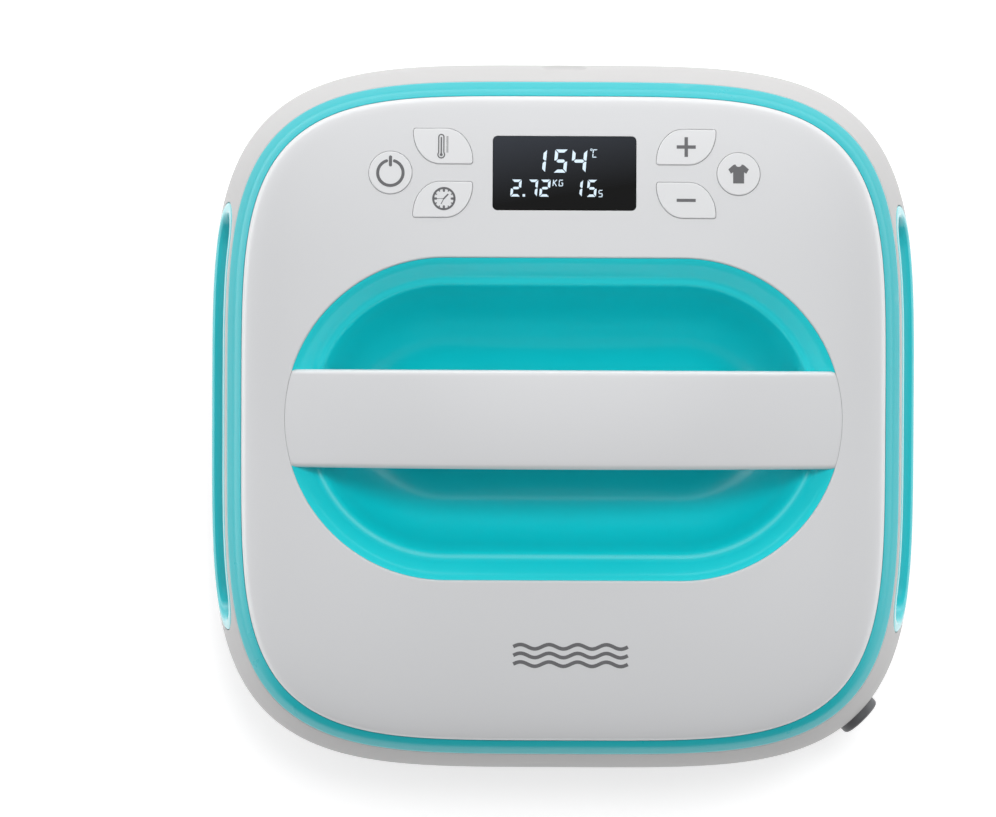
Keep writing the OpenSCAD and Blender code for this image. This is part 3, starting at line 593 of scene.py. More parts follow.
def corner_loop(w, h, radii, grow=0.0, steps=(22, 6)):
    """Rectangle with its own elliptical corners, anticlockwise from top right, with outward directions."""
    pts, out = [], []
    corners = [(1, 1, 0), (-1, 1, 90), (-1, -1, 180), (1, -1, 270)]
    for (sx, sy, a0), (rx, ry) in zip(corners, radii):
        cx, cy = sx * (w / 2 - rx), sy * (h / 2 - ry)
        n = steps[0] if rx > 5 else steps[1]
        for i in range(n + 1):
            a = math.radians(a0 + 90 * i / n)
            p = np.array([rx * math.cos(a), ry * math.sin(a)])
            d = np.array([p[0] / rx**2, p[1] / ry**2])
            d /= np.linalg.norm(d)
            pts.append((cx, cy) + p + d * grow)
            out.append(d)
    return np.array(pts), np.array(out)


def key_loop(kind, grow=0.0):
    if kind == 0:
        a = turn_of(64)
        d = np.stack([np.cos(a), np.sin(a)], 1)
        return densify(d * (ROUND_R + grow), d)
    radii = (BIG, SMALL, BIG, SMALL) if kind > 0 else (SMALL, BIG, SMALL, BIG)
    return densify(*corner_loop(LEAF_W, LEAF_H, radii, grow))


def window_loop(grow):
    return densify(*corner_loop(WINDOW_W + 2 * grow, WINDOW_H + 2 * grow, [(WINDOW_R + grow,) * 2] * 4))


def normals_at(points):
    return dome(points[:, 0], points[:, 1])[1]


def panel_edge(skin, centre, pts, out, round_r, depth, lift, sign):
    """Loops that round the edge of a key or a hole and go down its wall, from the one on the face.
    sign is 1 for a cap and -1 for a hole."""
    rings = []
    for c, s in quarter(5):
        x, v = (centre + pts - out * sign * round_r * (1 - s)).T
        p = on_panel(x, v, panel_w(x, v) + lift - round_r * (1 - c))
        side = np.column_stack([out, np.zeros(len(out))]) @ PANEL_AXES * sign
        rings.append((p, normals_at(p) * c + side * s))
    p, n = rings[-1]
    rings.append((p - PANEL_AXES[2] * depth, n))
    return skin.loops(*zip(*rings), flip=sign > 0)


# ---------------------------------------------------------------- top cover

COVER_COLUMNS, COVER_ROWS = 384, 29
RIM_SHARE, EDGE_SHARE, EDGE_P = 0.9998, 0.955, 0.8  # shares of the half width where the fine rows start and end
LIP_LEAST, LIP_WALL, LIP_MARGIN = 0.10, 3.2, 1.05


def cover_edge(skin, directions, rim):
    """The cover's edge: a short wall, then rows that lie closer together towards the rim. Returns the last row."""
    outward = dome_loop(directions * (rim * RIM_SHARE)[:, None])[1]
    outward[:, 2] = 0
    lower = np.column_stack([directions * rim[:, None], np.full(len(rim), RIM_Z - 2.2)])
    made = [skin.add(lower, outward)]
    for q in np.linspace(math.pi / 2, math.asin(EDGE_SHARE ** (1 / EDGE_P)), 14):
        s = min(math.sin(q) ** EDGE_P, RIM_SHARE)
        made.append(skin.add(*dome_loop(directions * (rim * s)[:, None])))
    skin.bridge(made)
    return made[-1]


def recess_lip(skin):
    """Lip of the grip recess: a small round that fades out where the handle's ends meet the cover."""
    pts, out = densify(*stadium(FLAT, RADIUS), step=1.2)
    past = np.clip((abs(pts[:, 1]) - HANDLE_W + 0.5) / 1.6, 0, 1)
    r = LIP_LEAST + (LIP_R - LIP_LEAST) * past * past * (3 - 2 * past)
    side = np.column_stack([-out, np.zeros(len(out))])
    rings = []
    for c, s in quarter(6):
        p, n = dome_loop(pts + out * (r * (1 - s))[:, None])
        p[:, 2] -= r * (1 - c)
        rings.append((p, n * c + side * s))
    p, n = rings[-1]
    rings.append((p - Z_AXIS * LIP_WALL, n))
    return skin.loops(*zip(*rings))[0]


def top_cover():
    skin = Skin()
    t = turn_of(COVER_COLUMNS)
    directions = np.stack([np.cos(t), np.sin(t)], 1)
    rim = squircle_r(COVER_HALF, COVER_N, t)
    outer = cover_edge(skin, directions, rim)
    lip = recess_lip(skin)
    holes = []
    for x, v, kind in KEYS.values():
        holes.append(panel_edge(skin, (x, v), *key_loop(kind, KEY_GAP), 0.22, 3.0, 0.0, -1)[0])
    holes.append(panel_edge(skin, (0, 0), *window_loop(WINDOW_GAP), 0.18, 1.6, 0.0, -1)[0])

    # rows of points between the edge and a stadium just outside the lip
    reach = RADIUS + LIP_MARGIN
    straight = reach / np.maximum(abs(np.sin(t)), 1e-4)
    bent = FLAT * abs(np.cos(t)) + np.sqrt(np.maximum(reach**2 - (FLAT * np.sin(t)) ** 2, 0))
    inner = np.where(straight * abs(np.cos(t)) <= FLAT, straight, bent)
    fixed = skin.points([i for loop in [outer, lip, *holes] for i in loop])[:, :2]
    extra = []
    for f in np.linspace(0, 1, COVER_ROWS + 1)[1:-1]:
        xy = directions * ((1 - f) * rim * EDGE_SHARE + f * inner)[:, None]
        ok = clear_of(xy, fixed, 0.7)
        for h in holes:
            ok &= ~inside(xy, skin.points(h)[:, :2])
        extra += skin.add(*dome_loop(xy[ok]))
    flat = {i: skin.co[i][:2] for loop in [outer, lip, *holes, extra] for i in loop}
    skin.fill(flat, outer, [lip, *holes], extra)
    obj = skin.build("cover", mat_white, "press", own_normals=True)
    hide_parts("top_cover")


top_cover()

# ---------------------------------------------------------------- keys and display


def key_cap(name, centre, loop, lift, round_r, depth, material, body, node):
    """A cap with a rounded edge, whose face follows the cover's."""
    skin = Skin()
    made = panel_edge(skin, centre, *loop, round_r, depth, lift, 1)
    skin.cap(made[-1], flip=True)
    rim = made[0]
    xy = ((skin.points(rim) - PANEL_PLACE) @ PANEL_AXES.T)[:, :2]
    low, high = xy.min(0), xy.max(0)
    gx, gy = np.meshgrid(np.arange(low[0], high[0], 1.3), np.arange(low[1], high[1], 1.3))
    grid = np.column_stack([gx.ravel(), gy.ravel()])
    grid = grid[inside(grid, xy)]
    grid = grid[clear_of(grid, xy, 0.6)]
    p = on_panel(*grid.T, panel_w(*grid.T) + lift)
    extra = skin.add(p, normals_at(p))
    skin.fill(dict(zip(rim + extra, [*xy, *grid])), rim, [], extra)
    obj = skin.build(name, material, body, own_normals=True)
    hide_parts(node)


for key, (kx, kv, kind) in KEYS.items():
    key_cap(key + "_cap", (kx, kv), key_loop(kind), KEY_LIFT - 0.03, 0.45, 3.0, mat_key, key + "_key",
            key + "_button")
key_cap("display", (0, 0), window_loop(0), -0.10, 0.18, 1.3, mat_glass, "press", "display_window")


# flat marks that follow the panel: each shape is a list of faces of points in millimetres


def bar(x0, y0, x1, y1, width, round_ends=True):
    """A stroke between two points."""
    a, b = np.array([x0, y0], float), np.array([x1, y1], float)
    d = (b - a) / np.linalg.norm(b - a)
    n = np.array([-d[1], d[0]]) * width / 2
    if not round_ends:
        return [[a - n, b - n, b + n, a + n]]
    loop = []
    base = math.atan2(d[1], d[0])
    for centre, start in ((b, base - math.pi / 2), (a, base + math.pi / 2)):
        for angle in np.linspace(start, start + math.pi, 9):
            loop.append(centre + np.array([math.cos(angle), math.sin(angle)]) * width / 2)
    return [loop]


def arc_band(cx, cy, r, width, a0, a1, n=48):
    """A stroke along part of a circle, as a row of quads."""
    t = np.radians(np.linspace(a0, a1, n + 1))
    inner = np.stack([cx + (r - width / 2) * np.cos(t), cy + (r - width / 2) * np.sin(t)], 1)
    outer = np.stack([cx + (r + width / 2) * np.cos(t), cy + (r + width / 2) * np.sin(t)], 1)
    return [[inner[i], outer[i], outer[i + 1], inner[i + 1]] for i in range(n)]


def disc(cx, cy, r):
    t = turn_of(28)
    return [list(np.stack([cx + r * np.cos(t), cy + r * np.sin(t)], 1))]


def marks(name, shapes, centre, lift, material, body, thick=0.03, surface=None):
    """Thin raised print on a key, the display or, with its own surface, the cover."""
    skin = Skin()
    for face in shapes:
        q = np.array(face)
        area = np.sum(q[:, 0] * np.roll(q[:, 1], -1) - np.roll(q[:, 0], -1) * q[:, 1])
        q = (q[::-1] if area < 0 else q) + centre
        sides = []
        for w in (lift - thick, lift + thick):
            if surface is None:
                sides.append(skin.add(on_panel(*q.T, panel_w(*q.T) + w)))
            else:
                sides.append(skin.add(np.column_stack([q, surface(*q.T) + w])))
        skin.bridge(sides)
        skin.cap(sides[1])
        skin.cap(sides[0], flip=True)
    obj = skin.build(name, material, body, sharp=None)
    bm = bmesh.new()
    bm.from_mesh(obj.data)
    bmesh.ops.remove_doubles(bm, verts=bm.verts, dist=1e-7)
    for f in bm.faces:
        f.smooth = False
    bm.to_mesh(obj.data)
    bm.free()


def bars(width, *strokes, round_ends=False):
    """Strokes of one width, each given as (x0, y0, x1, y1)."""
    return [face for stroke in strokes for face in bar(*stroke, width, round_ends)]


def power_sign():
    shapes = arc_band(0, -0.15, 5.2, 1.25, 108, 432, 60) + disc(-1.607, 4.795, 0.625) + disc(1.607, 4.795, 0.625)
    return shapes + bar(0, 3.1, 0, 6.4, 1.3)


def thermometer():
    shapes = arc_band(0, 3.75, 1.05, 0.5, 0, 180, 16) + arc_band(0, -3.6, 1.36, 0.5, 139, 401, 28)
    shapes += bars(0.5, (-1.05, 3.75, -1.05, -2.7), (1.05, 3.75, 1.05, -2.7))
    shapes += disc(0, -3.6, 0.62) + bar(0, -3.2, 0, 3.5, 0.6)
    for i in range(16):
        shapes += bars(0.2, (2.1, 3.9 - 0.43 * i, 2.9, 3.9 - 0.43 * i))
    return [[np.array(q) + (-0.7, 0.0) for q in face] for face in shapes]


def clock():
    cx, cy = 0.5, 0.3
    shapes = arc_band(cx, cy, 4.35, 0.85, 0, 360, 56)
    for i in range(12):
        x, y = math.cos(math.radians(30 * i)), math.sin(math.radians(30 * i))
        start, width = (3.2, 0.95) if i % 3 == 0 else (3.55, 0.5)
        shapes += bar(cx + start * x, cy + start * y, cx + 4.1 * x, cy + 4.1 * y, width)
    return shapes + bar(0.4, 0.2, 2.1, 2.0, 0.6) + bar(0.4, 0.3, -2.2, 0.3, 0.22) + bar(0.5, 0.3, -0.6, -1.8, 0.3)


def plus_sign():
    return bars(1.42, (-3.9, 0, 3.9, 0), (0, 0.71, 0, 4.1), (0, -4.1, 0, -0.71))


def minus_sign():
    return bars(1.27, (-3.9, 0, 3.9, 0))


def shirt():
    """A plain T-shirt: its body, a sleeve and a shoulder on each side, and the middle under the neck."""
    turn = [math.radians(a) for a in range(0, -181, -20)]
    neck = [(1.25 * math.cos(a), 3.9 + 0.95 * math.sin(a)) for a in turn]
    armpit, cuff = (2.25, 2.4), (2.3, 3.6)
    right = [[armpit, (2.25, 0.7), (3.15, 0.1), (4.2, 1.9), cuff], [armpit, cuff, (1.6, 3.9), *neck[:5]]]
    left = [[(-x, y) for x, y in face] for face in right]
    middle = [[(-2.25, -3.9), (2.25, -3.9), armpit, (-2.25, 2.4)], [neck[4], armpit, (-2.25, 2.4), neck[5]]]
    return right + left + middle


SIGNS = {
    "power": power_sign, "temperature": thermometer, "timer": clock, "plus": plus_sign, "minus": minus_sign,
    "preset": shirt,
}
for key, sign in SIGNS.items():
    marks(key + "_sign", sign(), KEYS[key][:2], KEY_LIFT - 0.01, mat_print, key + "_key")

SEGMENTS = {"1": "bc", "2": "abged", "4": "fgbc", "5": "afgcd", "7": "abc", "G": "afedc", "C": "afed"}
SLANT = 0.09


def digit(char, x, y, w, h, t, gap):
    """Seven slanting segments with mitred ends; (x, y) is the lower left corner and gap parts the segments."""
    m = h / 2
    k = gap * 0.7
    up_b = [(w, m + k), (w, h - k), (w - t, h - t - k), (w - t, m + t / 2 + k), (w - t / 2, m + k)]
    top = [(k, h), (t + k, h - t), (w - t - k, h - t), (w - k, h)]
    mid = [(t / 2 + k, m), (t + k, m - t / 2), (w - t - k, m - t / 2), (w - t / 2 - k, m), (w - t - k, m + t / 2),
           (t + k, m + t / 2)]
    parts = {
        "a": top, "b": up_b, "c": [(px, h - py) for px, py in up_b], "d": [(px, h - py) for px, py in top],
        "e": [(w - px, h - py) for px, py in up_b], "f": [(w - px, py) for px, py in up_b], "g": mid,
    }
    return [[np.array([x + px + SLANT * py, y + py]) for px, py in parts[s]] for s in SEGMENTS[char]]


def number(y, height, stroke, gap, *digits):
    """Digits of one height on one line, each given as (digit, left edge, width)."""
    return [face for char, x, width in digits for face in digit(char, x, y, width, height, stroke, gap)]


def display_text():
    """A temperature over a force and a time, with their units."""
    shapes = number(0.2, 9.6, 1.3, 0.35, ("1", -13.4, 5.4), ("5", -4.65, 5.3), ("4", 2.5, 6.0))
    shapes += arc_band(10.95, 9.75, 0.36, 0.24, 0, 360, 16) + number(6.5, 3.4, 0.38, 0.12, ("C", 11.3, 1.9))
    shapes += number(-9.7, 7.0, 1.0, 0.3, ("2", -22.2, 4.15), ("7", -15.25, 3.95), ("2", -10.35, 4.15),
                     ("1", 3.1, 3.9), ("5", 8.95, 3.9))
    shapes += [[(-17.1, -9.7), (-16.1, -9.7), (-16.1, -8.7), (-17.1, -8.7)]]
    shapes += bars(0.36, (-4.75, -5.3, -4.45, -2.75), (-4.5, -4.1, -3.15, -2.75), (-4.2, -4.0, -3.25, -5.35))
    shapes += number(-5.4, 2.7, 0.36, 0.1, ("G", -2.45, 1.8)) + bars(0.34, (-1.3, -4.05, -0.65, -4.05))
    return shapes + number(-9.8, 2.95, 0.36, 0.1, ("5", 13.75, 1.75))


marks("display_segments", display_text(), (0, 0), -0.085, mat_digits, "press", thick=0.02)

# plain wavy lines where the cover carries its mark


def wave(x0, x1, y, amplitude, length, width):
    xs = np.linspace(x0, x1, 120)
    ys = y + amplitude * np.sin(2 * math.pi * (xs - x0) / length)
    d = np.stack([np.gradient(xs), np.gradient(ys)], 1)
    d /= np.linalg.norm(d, axis=1, keepdims=True)
    half = np.stack([-d[:, 1], d[:, 0]], 1) * width / 2
    low, high = np.stack([xs, ys], 1) - half, np.stack([xs, ys], 1) + half
    return [[low[i], low[i + 1], high[i + 1], high[i]] for i in range(len(xs) - 1)]


waves = [face for y in (3.6, 0.0, -3.6) for face in wave(-23.5, 23.5, y, 0.9, 11.75, 1.5)]
marks("heat_waves", waves, (3.3, -96.8), 0.0, mat_print, "press", surface=lambda x, y: dome(x, y)[0])

# ---------------------------------------------------------------- accent ring


def accent_ring():
    """A closed band: its section is a chain of (half width, height, exponent), with a rounding at each corner."""
    low, high, under, slot_depth = SEAM_HALF, COVER_HALF + 0.14, SEAM_Z - 2.5, COVER_HALF - 3.0
    chain = [
        (low - 3.6, under, RING_N), (low - 3.6, SEAM_Z - 0.02, RING_N), (low - 0.1, SEAM_Z + 0.05, RING_N),
        (low - 0.45, SEAM_Z + 1.0, RING_N), (COVER_HALF + 3.4, RIM_Z - 2.3, 4.28), (high, RIM_Z + 0.1, COVER_N),
        (high, RIM_Z - 1.6, COVER_N), (slot_depth, RIM_Z - 2.2, COVER_N), (slot_depth, under, COVER_N),
    ]
    pts = fillet(chain + chain[:1], [0.2, 0.3, 1.0, 3.5, 0.25, 0.2, 0.2, 0.2])[:-1]
    skin = Skin()
    made = skin.loops([squircle_loop(*p) for p in pts])
    skin.strip(made[-1], made[0])
    obj = skin.build("ring", mat_ring, "press")
    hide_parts("accent_ring")


accent_ring()

# ---------------------------------------------------------------- lower housing

WALL_COLUMNS = 480
CUT = -0.75 * math.pi  # where the wall is laid open to be filled: the front left corner
GRIP_ROUND, TOP_ROUND, FOOT_ROUND = 0.45, 0.7, 0.9
DIMPLE_Z, HOLE_COLUMNS = 57, 64
# radius and depth of the rings of the rear dimple and of the gland's pocket
DIMPLE = [(10.1, 0), (9.7, 0.05), (9.35, 0.2), (9.0, 0.5), (8.4, 0.95), (7.6, 1.35), (6.6, 1.58), (5.2, 1.68),
          (2.6, 1.7)]
POCKET = [(10.15, 0), (9.95, 0.05), (9.8, 0.18), (9.72, 0.45), (9.7, 5.5)]


class Wall(Skin):
    """The side wall: a skin whose points also have a place on the wall laid out flat."""

    def __init__(self):
        super().__init__()
        self.flat = {}

    def put(self, points, normals, flat=None):
        ids = self.add(points, normals)
        if flat is None:
            t = np.arctan2(points[:, 1], points[:, 0])
            flat = np.column_stack([np.where(t < CUT, t + 2 * math.pi, t) * BODY_HALF, points[:, 2]])
        self.flat.update(zip(ids, flat))
        return ids

    def flat_points(self, ids):
        return np.array([self.flat[i] for i in ids])

    def grip_opening(self, side):
        pts, out = densify(*stadium(GRIP_HALF - GRIP_R, GRIP_R + 0.15, 32, 40), step=2.2)
        inward = np.column_stack([np.zeros(len(out)), -side * out[:, 0], -out[:, 1]])
        rings = []
        for c, s in quarter(5):
            yz = pts + out * GRIP_ROUND * (1 - s)
            y, z = side * yz[:, 0], GRIP_Z + yz[:, 1]
            face = side * side_x(y, z)
            p = np.column_stack([face - side * GRIP_ROUND * (1 - c), y, z])
            rings.append((p, side_normal(np.arctan2(y, face), z) * c + inward * s))
        p, n = rings[-1]
        rings.append((p - X_AXIS * side * 3.0, n))
        made = [self.put(p, n) for p, n in rings]
        self.bridge(made)
        return made

    def round_hole(self, point_of, profile, facing):
        """Rings about an axis; point_of(radius, angles, depth) lies on the wall, sunk by depth."""
        made, rings = [], [point_of(r, turn_of(HOLE_COLUMNS), depth) for r, depth in profile]
        for k, ring in enumerate(rings):
            before, after = rings[max(k - 1, 0)], rings[min(k + 1, len(rings) - 1)]
            n = np.cross(np.roll(ring, -1, 0) - np.roll(ring, 1, 0), before - after)
            n /= np.maximum(np.linalg.norm(n, axis=1, keepdims=True), 1e-12)
            if k == 0:
                n = side_normal(np.arctan2(ring[:, 1], ring[:, 0]), ring[:, 2])
            made.append(self.put(ring, n * np.sign(np.sum(n @ facing) or 1)))
        self.bridge(made)
        return made

    def edge(self, row, angles, z, r, depth, up):
        """Turns the wall's top (up 1) or bottom (up -1) edge inwards by depth, round a radius r."""
        z = np.full(len(angles), z)
        n = side_normal(angles, z)
        level = n * (1, 1, 0)
        level /= np.linalg.norm(level, axis=1, keepdims=True)
        base = side_point(angles, z)
        made = [row]
        for c, s in quarter(5)[1:]:
            p = base - level * r * (1 - c) + Z_AXIS * up * r * s
            made.append(self.add(p, n * c + Z_AXIS * up * s))
        made.append(self.add(self.points(made[-1]) - level * depth, Z_AXIS * up))
        self.bridge(made, flip=up < 0, closed=False)


def dimple_point(r, a, depth):
    x, z = -r * np.cos(a), DIMPLE_Z + r * np.sin(a)
    return np.column_stack([x, side_x(x, z) - depth, z])


def pocket_point(r, a, depth):
    """Found by halving the stretch of the diagonal in which the wall lies."""
    s, z = r * np.cos(a), GLAND_Z + r * np.sin(a)
    low, high = np.full(len(s), 120.0), np.full(len(s), 200.0)
    for _ in range(40):
        mid = (low + high) / 2
        p = np.outer(mid, TO_GLAND) + np.outer(s, ACROSS_GLAND)
        size = (abs(p[:, 0]) ** side_n(z) + abs(p[:, 1]) ** side_n(z)) ** (1 / side_n(z))
        within = size < side_half(z)
        low, high = np.where(within, mid, low), np.where(within, high, mid)
    p = np.outer(low - depth, TO_GLAND) + np.outer(s, ACROSS_GLAND)
    p[:, 2] = z
    return p


def lower_housing():
    wall = Wall()
    holes = [wall.grip_opening(side)[0] for side in (1, -1)]
    dimple = wall.round_hole(dimple_point, DIMPLE, Y_AXIS)
    wall.cap(dimple[-1])
    pocket = wall.round_hole(pocket_point, POCKET, TO_GLAND)
    holes += [dimple[0], pocket[0]]

    # a fine grid in angle and height, whose two ends meet point for point at the cut
    foot, seam = BASE_Z + FOOT_ROUND, SEAM_Z - TOP_ROUND
    angles = CUT + np.arange(WALL_COLUMNS + 1) * 2 * math.pi / WALL_COLUMNS
    rows = []
    for z in [foot, *np.linspace(16.5, 81.5, 30), seam]:
        level = np.full(len(angles), z)
        rows.append(wall.put(side_point(angles, level), side_normal(angles, level),
                             np.column_stack([angles * BODY_HALF, level])))
    outer = rows[0] + [r[-1] for r in rows[1:-1]] + rows[-1][::-1] + [r[0] for r in rows[-2:0:-1]]
    edges = wall.flat_points([i for h in holes for i in h])
    extra = []
    for row in rows[1:-1]:
        f = wall.flat_points(row[1:-1])
        ok = clear_of(f, edges, 0.9)
        for h in holes:
            ok &= ~inside(f, wall.flat_points(h))
        extra += [i for i, keep in zip(row[1:-1], ok) if keep]
    wall.fill(wall.flat, outer, holes, extra)
    wall.edge(rows[-1], angles, seam, TOP_ROUND, 3.4, 1)
    wall.edge(rows[0], angles, foot, FOOT_ROUND, 11.0, -1)
    obj = wall.build("wall", mat_wall_shaded, "press", own_normals=True)
    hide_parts("lower_housing")


lower_housing()

# ---------------------------------------------------------------- grip recess

# inset from the rim and height as a share of the depth
BOWL_CURVE = [
    (0.05, 1.0), (0.9, 0.992), (2.4, 0.970), (4.4, 0.930), (6.4, 0.886), (8.0, 0.852), (8.9, 0.843), (10.3, 0.838),
    (11.1, 0.818), (12.4, 0.765), (16, 0.60), (22, 0.38), (28, 0.224), (34, 0.112), (40, 0.041), (46, 0.0085),
    (50, 0.0),
]
BOWL_ROWS, BOWL_DEPTH = 84, 40


def smooth_profile(points, n):
    """Even points along a smooth curve through the given ones."""
    p = np.array(points, float)
    d = np.concatenate([[0], np.cumsum(np.linalg.norm(np.diff(p * [1, BOWL_DEPTH], axis=0), axis=1))])
    slope = np.gradient(p, d, axis=0)
    out = []
    for s in np.linspace(0, d[-1], n):
        i = min(np.searchsorted(d, s, side="right") - 1, len(d) - 2)
        h = d[i + 1] - d[i]
        u = (s - d[i]) / h
        a, b = 2 * u**3 - 3 * u**2 + 1, u**3 - 2 * u**2 + u
        out.append(a * p[i] + b * h * slope[i] + (1 - a) * p[i + 1] + (u**3 - u**2) * h * slope[i + 1])
    return np.array(out)


def grip_recess():
    skin = Skin()
    rim, out = densify(*stadium(FLAT, RADIUS), step=1.6)
    depth = dome(rim[:, 0], rim[:, 1])[0] - LIP_R - FLOOR_Z
    made = skin.loops([np.column_stack([rim - out * inset, FLOOR_Z + depth * share])
                       for inset, share in smooth_profile(BOWL_CURVE, BOWL_ROWS)])
    skin.cap(made[-1])
    obj = skin.build("bowl", mat_teal_painted_light, "press", sharp=60)
    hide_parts("grip_recess")


grip_recess()

# ---------------------------------------------------------------- handle

CROWNED = 0.65  # how far the section is sunk, so that its crowned top stays under the crest
END_GAP = 0.07
JOINT_R, TOP_R, LOW_R = 0.35, 2.4, 7  # roundings of the handle's section


def handle_part(name, section, node):
    """Carries a section of (y, height from the arch) along the arch, with ends that follow the recess."""
    skin = Skin()
    pts = np.array(section)
    end = FLAT + np.sqrt((RADIUS - END_GAP) ** 2 - pts[:, 0] ** 2)
    made = skin.loops([np.column_stack([u * end, pts[:, 0], arch(u * end) - CROWNED + pts[:, 1]])
                       for u in np.sin(np.linspace(-math.pi / 2, math.pi / 2, 97))])
    skin.cap(made[0], flip=True)
    skin.cap(made[-1])
    obj = skin.build(name, mat_white, "press", sharp=55)
    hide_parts(node)


def section_arc(cy, cz, r, a0, a1, n=8):
    return [(cy + r * math.cos(a), cz + r * math.sin(a)) for a in np.radians(np.linspace(a0, a1, n + 1))]


def both_sides(half, middle):
    """One side of a section, the points across, and the same side mirrored."""
    return half + middle + [(-y, z) for y, z in reversed(half)]


def handle():
    w, low = HANDLE_W, -HANDLE_T
    half_top, half_low = w - TOP_R, w - LOW_R
    right = section_arc(w - JOINT_R, JOINT_R - SPLIT, JOINT_R, -90, 0, 3) + [(w, -6.5), (w, -4.5)]
    right += section_arc(half_top, -TOP_R, TOP_R, 0, 86)
    crown = [(y, 0.6 * (1 - (y / half_top) ** 2)) for y in np.linspace(half_top, -half_top, 25)[1:-1]]
    joint = [(3 - w, -SPLIT), (w - 3, -SPLIT)]
    handle_part("handle_top", both_sides(right, crown) + joint, "handle_cover")
    left = section_arc(JOINT_R - w, -SPLIT - 0.1 - JOINT_R, JOINT_R, 90, 180, 3) + [(-w, -11.5), (-w, -13.5)]
    left += section_arc(-half_low, low + LOW_R, LOW_R, 180, 270)
    level = [(y, low) for y in np.linspace(-half_low, half_low, 17)[1:-1]]
    joint = [(w - 3, -SPLIT - 0.1), (3 - w, -SPLIT - 0.1)]
    handle_part("handle_under", both_sides(left, level) + joint, "handle_base")


handle()

# ---------------------------------------------------------------- side grips

# inset from the rim, depth under the wall's face, and how far the level has turned into the flat floor's
GRIP_ROWS = [
    (0.06, 3.0, 0), (0.06, 0.5, 0), (0.12, 0.22, 0), (0.3, 0.06, 0), (0.6, 0.0, 0), (1.6, -0.02, 0), (2.8, 0.04, 0),
    (3.6, 0.25, 0), (4.2, 0.7, 0), (4.6, 1.3, 0), (4.9, 2.2, 0.04), (5.4, 4.0, 0.2), (6.0, 6.5, 0.5), (6.8, 9.0, 0.85),
    (7.8, 10.5, 0.97), (9.2, 11.0, 1.0), (12.0, 11.0, 1.0), (16.0, 11.0, 1.0),
]


def side_grip(side, name, node):
    skin = Skin()
    base, out = densify(*stadium(GRIP_HALF - GRIP_R, GRIP_R, 40, 40), step=2.2)
    rings = []
    for inset, depth, level in GRIP_ROWS:
        yz = base - out * inset
        y, z = side * yz[:, 0], GRIP_Z + yz[:, 1]
        x = (side_x(y, z) - depth) * (1 - level) + (GRIP_FLOOR + 0.2) * level
        rings.append(np.column_stack([side * x, y, z]))
    made = skin.loops(rings)
    skin.cap(made[-1])
    obj = skin.build(name, mat_grip, "press", sharp=60)
    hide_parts(node)


side_grip(1, "right_grip", "right_side_grip")
side_grip(-1, "left_grip", "left_side_grip")

# ---------------------------------------------------------------- plate, skirt, load pads and gland

PLATE_COLUMNS = 320
SKIRT_LOW, SCREW_HEAD_Z, SCREW_EDGE, SCREW_CORNER = 4.0, 6.5, 135, 115.5
SKIRT_SCREWS = [(SCREW_EDGE, 0), (0, SCREW_EDGE), (-SCREW_EDGE, 0), (0, -SCREW_EDGE)]
SKIRT_SCREWS += [(x * SCREW_CORNER, y * SCREW_CORNER) for x in (-1, 1) for y in (-1, 1)]
PAD_LOW, PAD_TOP, PAD_R, PAD_BORE, POST_XY, PLATE_TRAVEL = 25.0, 25.95, 6.0, 2.9, 80.0, 0.5


def heat_plate():
    skin = Skin()
    chain = [(PLATE_HALF - 8, 0.0, 0), (PLATE_HALF, 0.0, 0), (PLATE_HALF, PLATE_T, 0), (PLATE_HALF - 14, PLATE_T, 0)]
    made = skin.loops([squircle_loop(half, z, PLATE_N, PLATE_COLUMNS) for half, z, _ in fillet(chain, [1.6, 0.6], 6)])
    skin.cap(made[0], flip=True)
    skin.cap(made[-1])
    obj = skin.build("pressing_plate", mat_plate, "plate", sharp=50)
    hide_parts("heat_plate")


def base_skirt():
    """The grey rim round the plate, with a counterbored hole for each of its screws."""
    skin = Skin()
    half, inner, top = BASE_HALF - 0.6, PLATE_HALF + 1.4, BASE_Z - 0.1
    rim = fillet([(half - 4, SKIRT_LOW, 0), (half, SKIRT_LOW, 0), (half, top, 0)], [1.0], 6)[1:]
    wall = skin.loops([squircle_loop(p[0], p[1], BODY_N) for p in rim])
    rim = fillet([(inner + 4, SKIRT_LOW, 0), (inner, SKIRT_LOW, 0), (inner, top, 0)], [0.6], 4)[:0:-1]
    hole = skin.loops([squircle_loop(p[0], p[1], PLATE_N, PLATE_COLUMNS) for p in rim])
    bore = [(1.8, top), (1.8, SCREW_HEAD_Z), (3.2, SCREW_HEAD_Z), (3.2, SKIRT_LOW + 0.3), (3.5, SKIRT_LOW)]
    bores = [skin.loops(turned_loops(bore, np.array([x, y, 0.0]), X_AXIS, Y_AXIS, 40)) for x, y in SKIRT_SCREWS]
    for mirror, outer, ring, holes in ((1, wall[-1], hole[0], [b[0] for b in bores]),
                                       (-1, wall[0], hole[-1], [b[-1] for b in bores])):
        flat = {i: (mirror * skin.co[i][0], skin.co[i][1]) for loop in [outer, ring, *holes] for i in loop}
        skin.fill(flat, outer, [ring, *holes], [])
    obj = skin.build("skirt", mat_skirt, "press", sharp=50)
    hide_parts("base_skirt")


def load_pads():
    """Soft rings between the plate's posts and the load cells."""
    skin = Skin()
    height = PAD_TOP - PAD_LOW
    start = ((PAD_R + PAD_BORE) / 2, 0.0)
    section = fillet([start, (PAD_R, 0.0), (PAD_R, height), (PAD_BORE, height), (PAD_BORE, 0.0), start],
                     [0.15] * 4, 4)[:-1]
    for x in (-POST_XY, POST_XY):
        for y in (-POST_XY, POST_XY):
            made = skin.loops(turned_loops(section, np.array([x, y, PAD_LOW]), X_AXIS, Y_AXIS, 48))
            skin.strip(made[-1], made[0])
    obj = skin.build("pads", mat_silicone, "plate")
    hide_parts("load_pads")
    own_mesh(obj)


